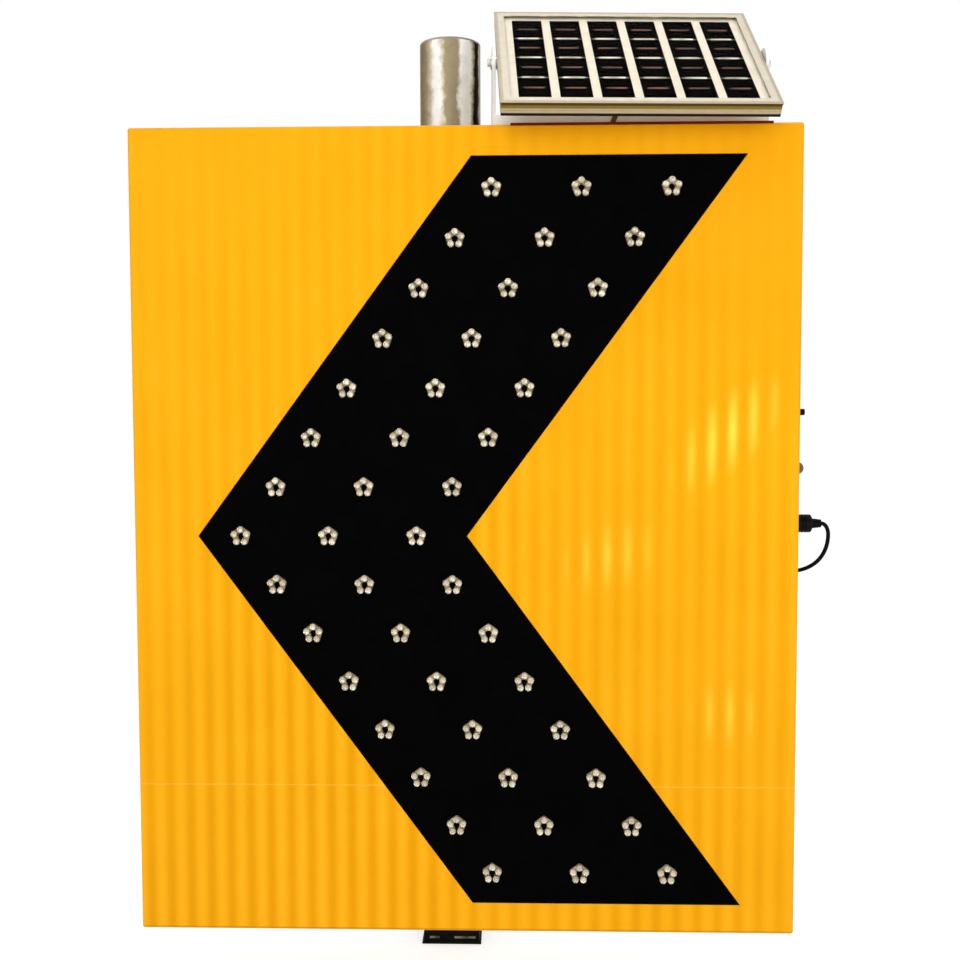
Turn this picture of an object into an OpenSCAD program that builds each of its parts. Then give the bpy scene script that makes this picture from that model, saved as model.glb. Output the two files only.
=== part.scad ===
// Solar lamp chevron sign: a folded sign box clamped to a round post, with a tilting solar panel on top.
// Origin: centre of the post foot's underside. +Z up, the face looks towards -Y, +X is right of the face.

/* [Sign box] */
// Width of the sign face
sign_w = 610; // [580:1:680]
// Height of the sign face
sign_h = 743; // [720:1:800]
// Depth from the face sheet to the rear cover's outside
box_d = 59; // [56:1:75]
// Thickness of the folded aluminium sheet
sheet_t = 2; // [1.5:0.1:2.5]
// Outer radius of the folded edges
bend_r = 2.5; // [2.5:0.1:4]
// Width of the return flange behind each side wall
flange_w = 22; // [18:1:28]
// Thickness of the rear cover
cover_t = 2; // [1.5:0.1:2.5]
// Thickness of the rubber seal under the rear cover
seal_t = 1.5; // [1:0.1:2]
// Thickness of the amber film
film_t = 0.4; // [0.3:0.05:0.6]
// Height of the sign's lower edge above the foot's underside
sign_lift = 54.5; // [50:0.5:75]
// Distance of the sign's middle to the right of the post axis
sign_x = 17.5; // [10:0.5:25]
// Cover screws up each side, corners included
side_screws = 5; // [4:1:6]
// Cover screws along the top and the bottom, corners left out
end_screws = 2; // [1:1:3]

/* [Chevron and lamps] */
// Width of the chevron's arms along X
chevron_w = 248; // [240:1:260]
// Height of the chevron
chevron_h = 688; // [680:1:700]
// Distance along X from the tip to the arms' ends
chevron_reach = 252.5; // [240:0.5:265]
// Distance from the sign's left edge to the tip
chevron_margin = 59.5; // [45:0.5:75]
// Thickness of the black chevron film
chevron_t = 0.25; // [0.2:0.05:0.4]
// Lamp rows on each side of the middle row
lamp_side_rows = 7; // [5:1:7]
// Lamps in one row
lamp_cols = 3; // [2:1:3]
// Height from one lamp row to the next
lamp_row_pitch = 45; // [40:0.5:46]
// Distance from one lamp to the next in a row
lamp_col_pitch = 81; // [60:0.5:84]
// Distance from the chevron's left edge to the first lamp
lamp_inset = 39.5; // [30:0.5:42]
// Bulbs in one lamp
bulb_count = 5; // [4:1:6]
// Diameter of a bulb
bulb_d = 6.2; // [4:0.1:6.6]
// Gap from one bulb to the next in a lamp
bulb_space = 1; // [0.9:0.1:2]
// Length of a bulb with its rim
bulb_len = 9.7; // [8:0.1:11]
// Diameter of the lamp boards behind the face
board_d = 24; // [22:0.5:30]
// Thickness of the circuit boards
board_t = 1.6; // [1:0.1:2]

/* [Post and clamps] */
// Outer diameter of the post
post_od = 60.3; // [55:0.1:65]
// Wall of the post
post_wall = 3; // [2:0.1:4]
// Length of the post tube
post_len = 884; // [860:1:950]
// Height of the foot plug's head under the tube
foot_h = 18; // [14:0.5:24]
// Thickness of the foot plug's flange
foot_flange_t = 3; // [2:0.5:6]
// Width of the foot plug's square flange
foot_flange_w = 60; // [58:0.5:64]
// Width of the foot plug's square neck
foot_neck_w = 56.5; // [55:0.5:58]
// Thickness of the top cap's lip
cap_lip_t = 2; // [1:0.5:4]
// Depth of both plugs in the tube
plug_d = 26; // [15:1:40]
// Distance between the two rear rails
rail_spread = 420; // [380:5:460]
// Length of a rail
rail_len = 460; // [430:5:480]
// Depth of a rail
rail_d = 25; // [20:1:32]
// Width of a rail's raised web
rail_web = 40; // [34:1:48]
// Width of a rail's flanges
rail_flange = 16; // [14:1:20]
// Thickness of a rail
rail_t = 2.5; // [2:0.1:3.5]
// Distance between the spare fixing holes of a rail
spare_spread = 320; // [280:5:360]
// Diameter of the spare fixing holes
spare_hole_d = 9; // [7:0.5:11]
// Height of the post clamps
clamp_h = 34; // [28:1:38]
// Least thickness of a clamp's front half behind the post
saddle_t = 4; // [3:0.5:8]
// Thickness of a clamp's rear half round the post
strap_t = 7; // [5:0.5:9]
// Thickness of the rear half's ears
ear_t = 10; // [8:0.5:14]
// Gap between a clamp's halves
split_gap = 3; // [2:0.5:5]
// Distance of a clamp's bolts outside its round strap
bolt_out = 6.8; // [6.8:0.1:10]
// Width of a clamp outside its bolts
ear_out = 12; // [9:0.5:16]

/* [Solar panel and yoke] */
// Width of the panel
panel_w = 243.5; // [230:0.5:255]
// Length of the panel up its slope
panel_l = 190.5; // [180:0.5:196]
// Height of the panel's frame
panel_h = 13; // [12.5:0.1:16]
// Tilt of the panel from level, at rest
panel_tilt = 40.7; // [35:0.1:42]
// Turn of the yoke about the swivel bolt, at rest
yoke_yaw = 2.9; // [0:0.1:5]
// Width of the frame's lip over the glass
lip_w = 9; // [6:0.5:10]
// Thickness of the frame's lip and shelf
lip_t = 0.8; // [0.6:0.05:0.9]
// Thickness of the frame's outer wall
frame_wall = 1.6; // [1.2:0.1:2]
// Thickness of the panel's glass
glass_t = 2.4; // [2:0.1:2.6]
// Solar cell columns
cell_cols = 6; // [4:1:6]
// Solar cell rows
cell_rows = 4; // [3:1:4]
// Width of a solar cell
cell_w = 28.4; // [26:0.1:29]
// Length of a solar cell up the slope
cell_l = 39.8; // [38:0.1:40]
// Gap between the cell columns
cell_col_gap = 7.9; // [6:0.1:8]
// Gap between the cell rows
cell_row_gap = 1.2; // [0.8:0.1:1.4]
// Swivel bolt in from the sign's right side
swivel_in = 165.5; // [160:0.5:170]
// Swivel bolt behind the face sheet
swivel_back = 30; // [27:0.5:32]
// Panel's middle to the right of the swivel bolt
swivel_offset = 12; // [0:0.5:15]
// Height of the sleeve between box and yoke
sleeve_h = 8; // [6:0.5:12]
// Height of the tilt axis above the yoke's underside
yoke_rise = 53.5; // [52:0.5:60]
// Thickness of the yoke plate
yoke_t = 3; // [2:0.1:3.5]
// Width of the yoke's base and arms
yoke_w = 28; // [24:0.5:32]

/* [Side fittings] */
// Distance of the fittings behind the face sheet
fitting_back = 25; // [22:0.5:28]
// Push button above the sign's middle
button_z = 113; // [105:1:120]
// Light sensor above the sign's middle
sensor_z = 61; // [50:1:70]
// Lead socket above the sign's middle
socket_z = 9.5; // [5:0.5:15]
// Diameter of the fittings' flanges
fitting_d = 13; // [12.5:0.5:16]
// Thickness of the fittings' flanges
fitting_flange_t = 2.5; // [2:0.1:3]
// Reach of the button and the sensor out of the side
fitting_reach = 9.5; // [8.5:0.1:12]
// Travel of the button
button_travel = 2; // [1:0.1:2.5]
// Diameter of the lead's plug
plug_body_d = 12; // [11:0.5:14]
// Reach of the plug with its boot out of the side
plug_reach = 26; // [25:0.5:28]
// Length of the plug's tapered boot
boot_len = 7; // [5:0.5:9]
// Diameter of the solar lead
lead_d = 3.8; // [3:0.1:4]

/* [Inside] */
// Battery width
battery_w = 150; // [120:1:160]
// Battery height
battery_h = 70; // [60:1:76]
// Battery depth
battery_d = 36; // [30:1:37]
// Battery's middle in from the sign's right side
battery_in = 155; // [150:1:160]
// Battery above the sign's middle
battery_z = 30; // [25:1:40]
// Controller board width
control_w = 110; // [90:1:120]
// Controller board height
control_h = 60; // [50:1:64]
// Controller board's middle in from the sign's right side
control_in = 130; // [125:1:135]
// Controller board below the sign's middle
control_drop = 75; // [70:1:80]
// Diameter of the wire bundle behind the lamps
bundle_d = 5; // [4:0.1:6]

/* [Hidden] */
$fn = 48;

// Overrun of every cut past the face it opens
over = 1;
// Gap round a screw in its hole
hole_gap = 0.3;
// Gap round a bulb in its hole
bulb_gap = 0.1;
// Gap between a nut and its thread
thread_gap = 0.1;
// Running gap of the post in its clamps and of the pivot bolts in the yoke
running_gap = 0.05;
// Gap round a plug in the tube and round the lead in its clips
plug_gap = 0.4;

// Fastener sizes: diameter, width across the flats, head, nut and washer
m8_d = 8;
m8_af = 13;
m8_head = 5.3;
m8_nut = 6.5;
m8_washer_d = 16;
m8_washer_t = 1.6;
m6_d = 6;
m6_af = 10;
m6_head = 4;
m6_nut = 5;
m6_washer_d = 14;
m6_washer_t = 1.2;
m4_d = 4;
m4_af = 7;
m4_head = 2.8;
m4_nut = 3.2;
m4_washer_d = 12;
m4_washer_t = 1.2;
pan_head_d = 8;
pan_head_h = 2.4;
screw_tip = 4;
thread_end = 3;

// Levels of the sign box, from the post axis forwards
post_r = post_od / 2;
clamp_r = post_r + running_gap;
web_y = -(clamp_r + saddle_t);
back_y = web_y - rail_d;
cover_in_y = back_y - cover_t;
tray_rear_y = cover_in_y - seal_t;
tray_front_y = back_y - box_d;
sheet_rear_y = tray_front_y + sheet_t;
film_y = tray_front_y - film_t;
sign_cz = sign_lift + sign_h / 2;
sign_top = sign_lift + sign_h;
side_x = sign_x + sign_w / 2;
tray_w = sign_w - 2 * film_t;
tray_h = sign_h - 2 * film_t;
tray_r = bend_r - film_t;
wall_t = film_t + sheet_t;
tube_z = foot_h;
tube_top = tube_z + post_len;
rail_zs = [sign_cz - rail_spread / 2, sign_cz + rail_spread / 2];
rail_bolt_x = rail_len / 2 - rail_flange;
rail_bolt_z = (rail_web + rail_flange) / 2;
clamp_bolt_x = clamp_r + strap_t + bolt_out;
clamp_w = 2 * (clamp_bolt_x + ear_out);
clamp_grip = split_gap / 2 + ear_t - (web_y - rail_t);
cover_screw_x = (tray_w - flange_w) / 2;
cover_screw_z = (tray_h - flange_w) / 2;

// Places of the chevron and its lamps, from the sign's middle
tip_x = chevron_margin - sign_w / 2;
lamp_slope = chevron_reach / (chevron_h / 2);
bulb_ring_d = (bulb_d + bulb_space) / sin(180 / bulb_count);
bulb_rim_share = 0.6;
bulb_rim_d = bulb_d + bulb_rim_share * bulb_space;
bulb_rim_t = 1;
bulb_hole_d = bulb_d + 2 * bulb_gap;

// Panel levels above the tilt axis
backsheet_t = 0.4;
cell_t = 0.3;
laminate_gap = 0.2;
groove_h = glass_t + cell_t + backsheet_t + laminate_gap;
nut_room = 0.1;
axis_drop = 2 * lip_t + groove_h + nut_room + m4_af / 2;
shelf_z = axis_drop - lip_t - groove_h;
backsheet_z = shelf_z;
cell_z = backsheet_z + backsheet_t;
glass_z = cell_z + cell_t;
frame_step = 0.6;
mitre_gap = 0.05;
frame_wall_x = panel_w / 2 - frame_step;
laminate_gap_side = 0.5;
laminate_w = 2 * (frame_wall_x - frame_wall - laminate_gap_side);
laminate_l = panel_l - 2 * (frame_step + frame_wall + laminate_gap_side);
pivot_washer_t = 2;
arm_x = frame_wall_x + pivot_washer_t;
pivot_out = arm_x + yoke_t + m4_washer_t;
swivel_x = side_x - swivel_in;
swivel_y = tray_front_y + swivel_back;
yoke_z = sign_top + sleeve_h;
axis_z = yoke_z + yoke_rise;
arm_end_r = yoke_w / 2;
// Gap between the yoke's front lip and the box's top
yoke_lip_gap = 1.5;
sleeve_d = 9;
box_jw = 52;
box_jl = 44;
box_jh = 14;
box_slope = 30;
lid_t = 2;
gland_d = 9;
gland_len = 9;

// Side fittings: barrel in the wall, nut and switch behind it
fitting_y = tray_front_y + fitting_back;
barrel_d = 9;
barrel_nut_af = 12.5;
barrel_nut_t = 2.5;
barrel_len = wall_t + barrel_nut_t + thread_end;
plunger_d = 6;
collar_d = 8.2;
collar_t = 1.5;
switch_w = 13;
switch_d = 12;
dome_d = 12;
socket_d = 15;
socket_barrel_d = 11;
socket_nut_af = 14.5;
socket_len = 12;
pin_d = 5.4;
pin_len = 7;
boot_tip_d = 5.4;
boot_root_d = 9;

// Inside the box
strap_w = 40;
strap_t_in = 1.5;
strap_foot = 14;
battery_gap = 0.3;
spacer_d = 8;
spacer_h = 10;
board_edge = 6;
wire_d = 2;
chip_sizes = [[22, 14, 6], [16, 16, 10], [12, 24, 8], [18, 8, 12]];
chip_x_shares = [-0.3, -0.02, 0.22, 0.3];
chip_z_shares = [0.18, -0.2, 0.1, -0.28];

// Clips that hold the lead
clip_len = 9;
clip_w = 12;
clip_roof = 1.6;
clip_floor = 1.2;
clip_lift = clip_floor + plug_gap + lead_d / 2;
// Clip on the yoke's base, from the swivel bolt
yoke_clip_x = 30;
yoke_clip_y = 7;

// Places on the yoke and the panel, as points of the whole sign
function on_yoke(p) = [swivel_x + cos(yoke_yaw) * p.x - sin(yoke_yaw) * p.y,
    swivel_y + sin(yoke_yaw) * p.x + cos(yoke_yaw) * p.y, yoke_z + p.z];
function on_panel(p) = on_yoke([swivel_offset + p.x, cos(panel_tilt) * p.y - sin(panel_tilt) * p.z,
    yoke_rise + sin(panel_tilt) * p.y + cos(panel_tilt) * p.z]);

// Route of the solar lead: out of the plug, round the side, up the rear cover and across to the yoke
lead_sides = 8;
lead_in = 2.5;
lead_y = back_y + clip_lift;
plug_z = sign_cz + socket_z;
plug_exit = [side_x + plug_reach, fitting_y, plug_z];
lead_up_in = 42.5;
lead_top_in = 136.5;
lead_up_x = side_x - lead_up_in;
lead_top_x = side_x - lead_top_in;
loop_steps = [[lead_in, 0, 0], [5.5, 0.2, -3], [7.3, 0.7, -7.5], [7.5, 1.2, -13], [7, 2.2, -19.5],
    [5, 3.2, -26.5], [1.5, 5.2, -33.5], [-3.5, 7.2, -39], [-9.5, 11.2, -43.5], [-15.5, 17.2, -46.5],
    [-20.5, 25.2, -48.5]];
edge_steps = [[3, -5.3, -50], [-0.5, -0.8, -51], [-7.5, 0, -51.5], [-17.5, 0, -51.5], [-27.5, 0, -50],
    [-35.5, 0, -44.5], [-40.5, 0, -36.5], [-lead_up_in, 0, -26.5]];
cross_low = 110;
cross_high = 26;
cross_steps = 10;
cross_points = [for (i = [0 : cross_steps]) let (t = i / cross_steps)
    [lead_up_x + (lead_top_x - lead_up_x) * (1 - cos(180 * t)) / 2, lead_y,
        sign_top - cross_low + (cross_low - cross_high) * t]];
lead_top_drop = 13.5;
lead_top = [lead_top_x, lead_y, sign_top - lead_top_drop];
lead_route = concat([plug_exit], [for (p = loop_steps) plug_exit + p],
    [for (p = edge_steps) [side_x, lead_y, plug_z] + p], cross_points, [lead_top]);
// Slack of the lead from the cover to the clip on the yoke, for the swivel
yoke_clip_at = on_yoke([yoke_clip_x, yoke_clip_y, yoke_t + clip_lift]);
swivel_loop_route = concat([for (p = [[0, 0, 0], [0, 0, 8], [0, -0.6, 15], [0, -3.3, 21.5], [0, -8.3, 26.5]])
    lead_top + p], [for (p = [[-0.5, 9.7, 0], [-0.2, 4.7, 0], [0, 0, 0]]) yoke_clip_at + p]);
// Slack of the lead from that clip to the panel's gland, for the tilt
gland_tip = [box_jw / 4, box_slope - box_jl / 2 - gland_len, backsheet_z - box_jh / 2];
gland_end = on_panel(gland_tip);
tilt_loop_route = concat([for (p = [[0, 0, 0], [0.2, -4.7, 0], [-0.1, -11.3, 2.5], [-0.6, -16.3, 8],
    [-1.3, -18.8, 16]]) yoke_clip_at + p], [for (p = [[2.6, -12.5, -19.4], [1.4, -10, -11.4], [0.6, -7, -6.5]])
    gland_end + p], [on_panel(gland_tip - [0, 2 * lead_in, 0]), gland_end]);
// Clip places on the rear cover, in from the side and up from the plug or down from the top
clip_low_drop = 5.5;
clip_mid_rise = 124.5;
clip_high_drop = 117.5;
clip_top_drop = 21.5;
clip_edge_in = 17.5;
clip_edge_drop = 51.5;
clip_places = [[lead_up_x, plug_z - clip_low_drop], [lead_up_x, plug_z + clip_mid_rise],
    [lead_up_x, sign_top - clip_high_drop], [lead_top_x, sign_top - clip_top_drop]];
clip_edge = [side_x - clip_edge_in, plug_z - clip_edge_drop];

// Frames of reference
module at_sign() {
    translate([sign_x, 0, sign_cz]) children();
}

module at_side(z) {
    translate([side_x, fitting_y, sign_cz + z]) rotate([0, 90, 0]) children();
}

module at_yoke() {
    translate([swivel_x, swivel_y, yoke_z]) rotate([0, 0, yoke_yaw]) children();
}

module at_panel() {
    at_yoke() translate([swivel_offset, 0, yoke_rise]) rotate([panel_tilt, 0, 0]) children();
}

// Both ends of a pivot, the second one mirrored
module both_sides() {
    children();
    mirror([1, 0, 0]) children();
}

// A block given by its two corners
module block(low, high) {
    translate(low) cube(high - low);
}

// A plate across Y with rounded corners
module rounded_plate(w, h, r, low_y, high_y) {
    block([r - w / 2, low_y, -h / 2], [w / 2 - r, high_y, h / 2]);
    block([-w / 2, low_y, r - h / 2], [w / 2, high_y, h / 2 - r]);
    for (x = [-1, 1], z = [-1, 1])
        translate([x * (w / 2 - r), low_y, z * (h / 2 - r)]) to_rear() cylinder(r = r, h = high_y - low_y);
}

// A box whose front edges and corners are rounded, as folded sheet is
module folded_box(w, h, r, front_y, rear_y) {
    rounded_plate(w, h, r, front_y + r, rear_y);
    block([r - w / 2, front_y, r - h / 2], [w / 2 - r, front_y + r, h / 2 - r]);
    for (x = [-1, 1]) translate([x * (w / 2 - r), front_y + r, r - h / 2]) cylinder(r = r, h = h - 2 * r);
    for (z = [-1, 1])
        translate([r - w / 2, front_y + r, z * (h / 2 - r)]) rotate([0, 90, 0]) cylinder(r = r, h = w - 2 * r);
    for (x = [-1, 1], z = [-1, 1]) translate([x * (w / 2 - r), front_y + r, z * (h / 2 - r)]) sphere(r = r);
}

// A bolt along +Z, its head under the origin
module hex_bolt(d, af, head, len) {
    translate([0, 0, -head]) cylinder(d = af / cos(30), h = head, $fn = 6);
    cylinder(d = d, h = len);
}

module pan_screw(d, len) {
    translate([0, 0, -pan_head_h]) cylinder(d = pan_head_d, h = pan_head_h);
    cylinder(d = d, h = len);
}

module hex_nut(d, af, h) {
    difference() {
        cylinder(d = af / cos(30), h = h, $fn = 6);
        translate([0, 0, -over]) cylinder(d = d + 2 * thread_gap, h = h + 2 * over);
    }
}

module washer(d, outer, h) {
    difference() {
        cylinder(d = outer, h = h);
        translate([0, 0, -over]) cylinder(d = d + 2 * hole_gap, h = h + 2 * over);
    }
}

// Turns a shape's +Z to +Y or to -Y
module to_rear() {
    rotate([-90, 0, 0]) children();
}

module to_front() {
    rotate([90, 0, 0]) children();
}

// A round tube swept along a route, with its two ends square to it
function unit(v) = v / norm(v);
function heading(r, i) = unit(r[min(i + 1, len(r) - 1)] - r[max(i - 1, 0)]);
function sideways(v) = abs(v.z) < 0.9 ? unit(cross([0, 0, 1], v)) : unit(cross([0, 1, 0], v));
function carried(r, i) = i == 0 ? sideways(heading(r, 0))
    : let (h = heading(r, i), last = carried(r, i - 1)) unit(last - h * (last * h));
function ring(r, i, d) = let (h = heading(r, i), a = carried(r, i), b = cross(h, a))
    [for (k = [0 : lead_sides - 1]) r[i] + d / 2 * (cos(360 * k / lead_sides) * a + sin(360 * k / lead_sides) * b)];
module tube_along(r, d) {
    n = lead_sides;
    last = len(r) - 1;
    points = [for (i = [0 : last]) each ring(r, i, d)];
    walls = [for (i = [0 : last - 1], k = [0 : n - 1], s = [0, 1])
        let (k2 = (k + 1) % n)
        s == 0 ? [i * n + k, (i + 1) * n + k, i * n + k2] : [i * n + k2, (i + 1) * n + k, (i + 1) * n + k2]];
    ends = [[for (k = [0 : n - 1]) k], [for (k = [n - 1 : -1 : 0]) last * n + k]];
    polyhedron(points, concat(walls, ends));
}

// Places that repeat
module lamp_places() {
    for (row = [-lamp_side_rows : lamp_side_rows], col = [0 : lamp_cols - 1])
        translate([tip_x + lamp_inset + abs(row) * lamp_row_pitch * lamp_slope + col * lamp_col_pitch, 0,
            row * lamp_row_pitch]) children();
}

module bulb_places() {
    lamp_places()
        for (i = [0 : bulb_count - 1])
            rotate([0, 360 * i / bulb_count, 0]) translate([0, 0, bulb_ring_d / 2]) children();
}

module bulb_holes() {
    at_sign() bulb_places() translate([0, sheet_rear_y + over, 0]) to_front()
        cylinder(d = bulb_hole_d, h = sheet_t + film_t + chevron_t + 2 * over);
}

module cover_screw_places() {
    at_sign() translate([0, back_y, 0]) {
        for (i = [0 : side_screws - 1], x = [-1, 1])
            translate([x * cover_screw_x, 0, cover_screw_z * (2 * i / (side_screws - 1) - 1)]) children();
        for (i = [1 : end_screws], z = [-1, 1])
            translate([cover_screw_x * (2 * i / (end_screws + 1) - 1), 0, z * cover_screw_z]) children();
    }
}

module rail_bolt_places() {
    for (z = rail_zs, x = [-1, 1], side = [-1, 1])
        translate([sign_x + x * rail_bolt_x, back_y + rail_t, z + side * rail_bolt_z]) children();
}

module clamp_bolt_places(zs) {
    for (z = zs, x = [-1, 1]) translate([x * clamp_bolt_x, web_y - rail_t, z]) children();
}

module strap_screw_places() {
    for (z = [-1, 1])
        translate([side_x - battery_in, cover_in_y,
            sign_cz + battery_z + z * (battery_h / 2 + battery_gap + strap_t_in + strap_foot / 2)]) children();
}

module board_screw_places() {
    for (x = [-1, 1], z = [-1, 1])
        translate([side_x - control_in + x * (control_w / 2 - board_edge), cover_in_y,
            sign_cz - control_drop + z * (control_h / 2 - board_edge)]) children();
}

module fitting_holes(gap) {
    at_side(button_z) translate([0, 0, -wall_t - over]) cylinder(d = barrel_d + 2 * gap, h = wall_t + 2 * over);
    at_side(sensor_z) translate([0, 0, -wall_t - over]) cylinder(d = barrel_d + 2 * gap, h = wall_t + 2 * over);
    at_side(socket_z) translate([0, 0, -wall_t - over])
        cylinder(d = socket_barrel_d + 2 * gap, h = wall_t + 2 * over);
}

module swivel_hole() {
    translate([swivel_x, swivel_y, sign_top - wall_t - over])
        cylinder(d = m6_d + 2 * hole_gap, h = wall_t + 2 * over);
}

// Post
module post_tube() {
    color("silver") translate([0, 0, tube_z]) difference() {
        cylinder(d = post_od, h = post_len, $fn = 96);
        translate([0, 0, -over]) cylinder(d = post_od - 2 * post_wall, h = post_len + 2 * over, $fn = 96);
    }
}

module post_cap() {
    color("gray") {
        translate([0, 0, tube_top]) cylinder(d = post_od, h = cap_lip_t, $fn = 96);
        translate([0, 0, tube_top - plug_d])
            cylinder(d = post_od - 2 * post_wall - 2 * plug_gap, h = plug_d);
    }
}

module post_foot() {
    flange = foot_flange_w / 2;
    neck = foot_neck_w / 2;
    color("black") {
        block([-flange, -flange, 0], [flange, flange, foot_flange_t]);
        block([-neck, -neck, 0], [neck, neck, foot_h]);
        cylinder(d = post_od - 2 * post_wall - 2 * plug_gap, h = foot_h + plug_d);
    }
}

// Post clamps
module clamp_front(z) {
    color("darkgray") difference() {
        block([-clamp_w / 2, web_y, z - clamp_h / 2], [clamp_w / 2, -split_gap / 2, z + clamp_h / 2]);
        translate([0, 0, z - clamp_h / 2 - over]) cylinder(r = clamp_r, h = clamp_h + 2 * over, $fn = 96);
        clamp_bolt_places([z]) to_rear() cylinder(d = m8_d + 2 * hole_gap, h = saddle_t + post_od);
    }
}

module clamp_rear(z) {
    color("darkgray") difference() {
        union() {
            block([-clamp_w / 2, split_gap / 2, z - clamp_h / 2],
                [clamp_w / 2, split_gap / 2 + ear_t, z + clamp_h / 2]);
            translate([0, 0, z - clamp_h / 2]) cylinder(r = clamp_r + strap_t, h = clamp_h, $fn = 96);
        }
        translate([0, 0, z - clamp_h / 2 - over]) cylinder(r = clamp_r, h = clamp_h + 2 * over, $fn = 96);
        block([-clamp_w, -post_od, z - clamp_h], [clamp_w, split_gap / 2, z + clamp_h]);
        clamp_bolt_places([z]) to_rear() cylinder(d = m8_d + 2 * hole_gap, h = saddle_t + 2 * post_od);
    }
}

module clamp_front_lower() clamp_front(rail_zs[0]);
module clamp_front_upper() clamp_front(rail_zs[1]);
module clamp_rear_lower() clamp_rear(rail_zs[0]);
module clamp_rear_upper() clamp_rear(rail_zs[1]);

module clamp_bolts() {
    color("silver") clamp_bolt_places(rail_zs) to_rear()
        hex_bolt(m8_d, m8_af, m8_head, clamp_grip + m8_washer_t + m8_nut + thread_end);
}

module clamp_washers() {
    color("silver") clamp_bolt_places(rail_zs) to_rear() translate([0, 0, clamp_grip])
        washer(m8_d, m8_washer_d, m8_washer_t);
}

module clamp_nuts() {
    color("silver") clamp_bolt_places(rail_zs) to_rear() translate([0, 0, clamp_grip + m8_washer_t])
        hex_nut(m8_d, m8_af, m8_nut);
}

// Rear rails: hat sections on the rear cover
module rail(z) {
    web = rail_web / 2;
    hat = [[0, -web - rail_flange], [rail_t, -web - rail_flange], [rail_t, -web], [rail_d, -web], [rail_d, web],
        [rail_t, web], [rail_t, web + rail_flange], [0, web + rail_flange], [0, web - rail_t],
        [rail_d - rail_t, web - rail_t], [rail_d - rail_t, rail_t - web], [0, rail_t - web]];
    color("silver") difference() {
        translate([sign_x - rail_len / 2, back_y, z]) rotate([90, 0, 90])
            linear_extrude(rail_len) polygon(hat);
        rail_bolt_places() translate([0, over, 0]) to_front()
            cylinder(d = m6_d + 2 * hole_gap, h = rail_t + 2 * over);
        clamp_bolt_places([z]) translate([0, -over, 0]) to_rear()
            cylinder(d = m8_d + 2 * hole_gap, h = rail_t + 2 * over);
        for (x = [-1, 1])
            translate([sign_x + x * spare_spread / 2, web_y - rail_t - over, z]) to_rear()
                cylinder(d = spare_hole_d, h = rail_t + 2 * over);
    }
}

module rail_lower() rail(rail_zs[0]);
module rail_upper() rail(rail_zs[1]);

module rail_bolts() {
    color("silver") rail_bolt_places() to_front()
        hex_bolt(m6_d, m6_af, m6_head, rail_t + cover_t + m6_nut + thread_end);
}

module rail_nuts() {
    color("silver") rail_bolt_places() translate([0, -rail_t - cover_t, 0]) to_front()
        hex_nut(m6_d, m6_af, m6_nut);
}

// Sign box
module rear_cover() {
    color("lightgray") difference() {
        at_sign() rounded_plate(tray_w, tray_h, tray_r, cover_in_y, back_y);
        cover_screw_places() translate([0, over, 0]) to_front()
            cylinder(d = m4_d + 2 * hole_gap, h = cover_t + 2 * over);
        rail_bolt_places() to_front() cylinder(d = m6_d + 2 * hole_gap, h = rail_t + cover_t + over);
        strap_screw_places() translate([0, -over, 0]) to_rear()
            cylinder(d = m4_d + 2 * hole_gap, h = cover_t + 2 * over);
        board_screw_places() translate([0, -over, 0]) to_rear()
            cylinder(d = m4_d + 2 * hole_gap, h = cover_t + 2 * over);
    }
}

module cover_seal() {
    color("dimgray") difference() {
        at_sign() rounded_plate(tray_w, tray_h, tray_r, tray_rear_y, cover_in_y);
        at_sign() block([flange_w - tray_w / 2, tray_rear_y - over, flange_w - tray_h / 2],
            [tray_w / 2 - flange_w, cover_in_y + over, tray_h / 2 - flange_w]);
        cover_screw_places() to_front() cylinder(d = m4_d + 2 * hole_gap, h = cover_t + seal_t + over);
    }
}

module cover_screws() {
    color("silver") cover_screw_places() to_front()
        pan_screw(m4_d, cover_t + seal_t + sheet_t + screw_tip);
}

module front_tray() {
    inner_w = tray_w - 2 * sheet_t;
    inner_h = tray_h - 2 * sheet_t;
    color("lightgray") difference() {
        at_sign() folded_box(tray_w, tray_h, tray_r, tray_front_y, tray_rear_y);
        at_sign() block([-inner_w / 2, sheet_rear_y, -inner_h / 2],
            [inner_w / 2, tray_rear_y - sheet_t, inner_h / 2]);
        at_sign() block([flange_w - tray_w / 2, sheet_rear_y, flange_w - tray_h / 2],
            [tray_w / 2 - flange_w, tray_rear_y + over, tray_h / 2 - flange_w]);
        bulb_holes();
        cover_screw_places() to_front()
            cylinder(d = m4_d + 2 * hole_gap, h = cover_t + seal_t + sheet_t + over);
        fitting_holes(hole_gap);
        swivel_hole();
    }
}

module face_film() {
    color("orange") difference() {
        at_sign() folded_box(sign_w, sign_h, bend_r, film_y, tray_rear_y);
        at_sign() folded_box(tray_w, tray_h, tray_r, tray_front_y, tray_rear_y + over);
        bulb_holes();
        fitting_holes(hole_gap);
        swivel_hole();
    }
}

module chevron_film() {
    half = chevron_h / 2;
    outline = [[tip_x, 0], [tip_x + chevron_reach, half], [tip_x + chevron_reach + chevron_w, half],
        [tip_x + chevron_w, 0], [tip_x + chevron_reach + chevron_w, -half], [tip_x + chevron_reach, -half]];
    color("black") difference() {
        at_sign() translate([0, film_y, 0]) to_front() linear_extrude(chevron_t) polygon(outline);
        bulb_holes();
    }
}

// Lamps
module lamp_bulbs() {
    straight = bulb_len - bulb_d / 2;
    color("white") at_sign() bulb_places() translate([0, sheet_rear_y + bulb_rim_t, 0]) to_front() {
        cylinder(d = bulb_rim_d, h = bulb_rim_t);
        cylinder(d = bulb_d, h = straight);
        translate([0, 0, straight]) sphere(d = bulb_d);
    }
}

module lamp_boards() {
    color("green") at_sign() lamp_places() translate([0, sheet_rear_y + bulb_rim_t + board_t, 0]) to_front()
        cylinder(d = board_d, h = board_t);
}

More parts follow.
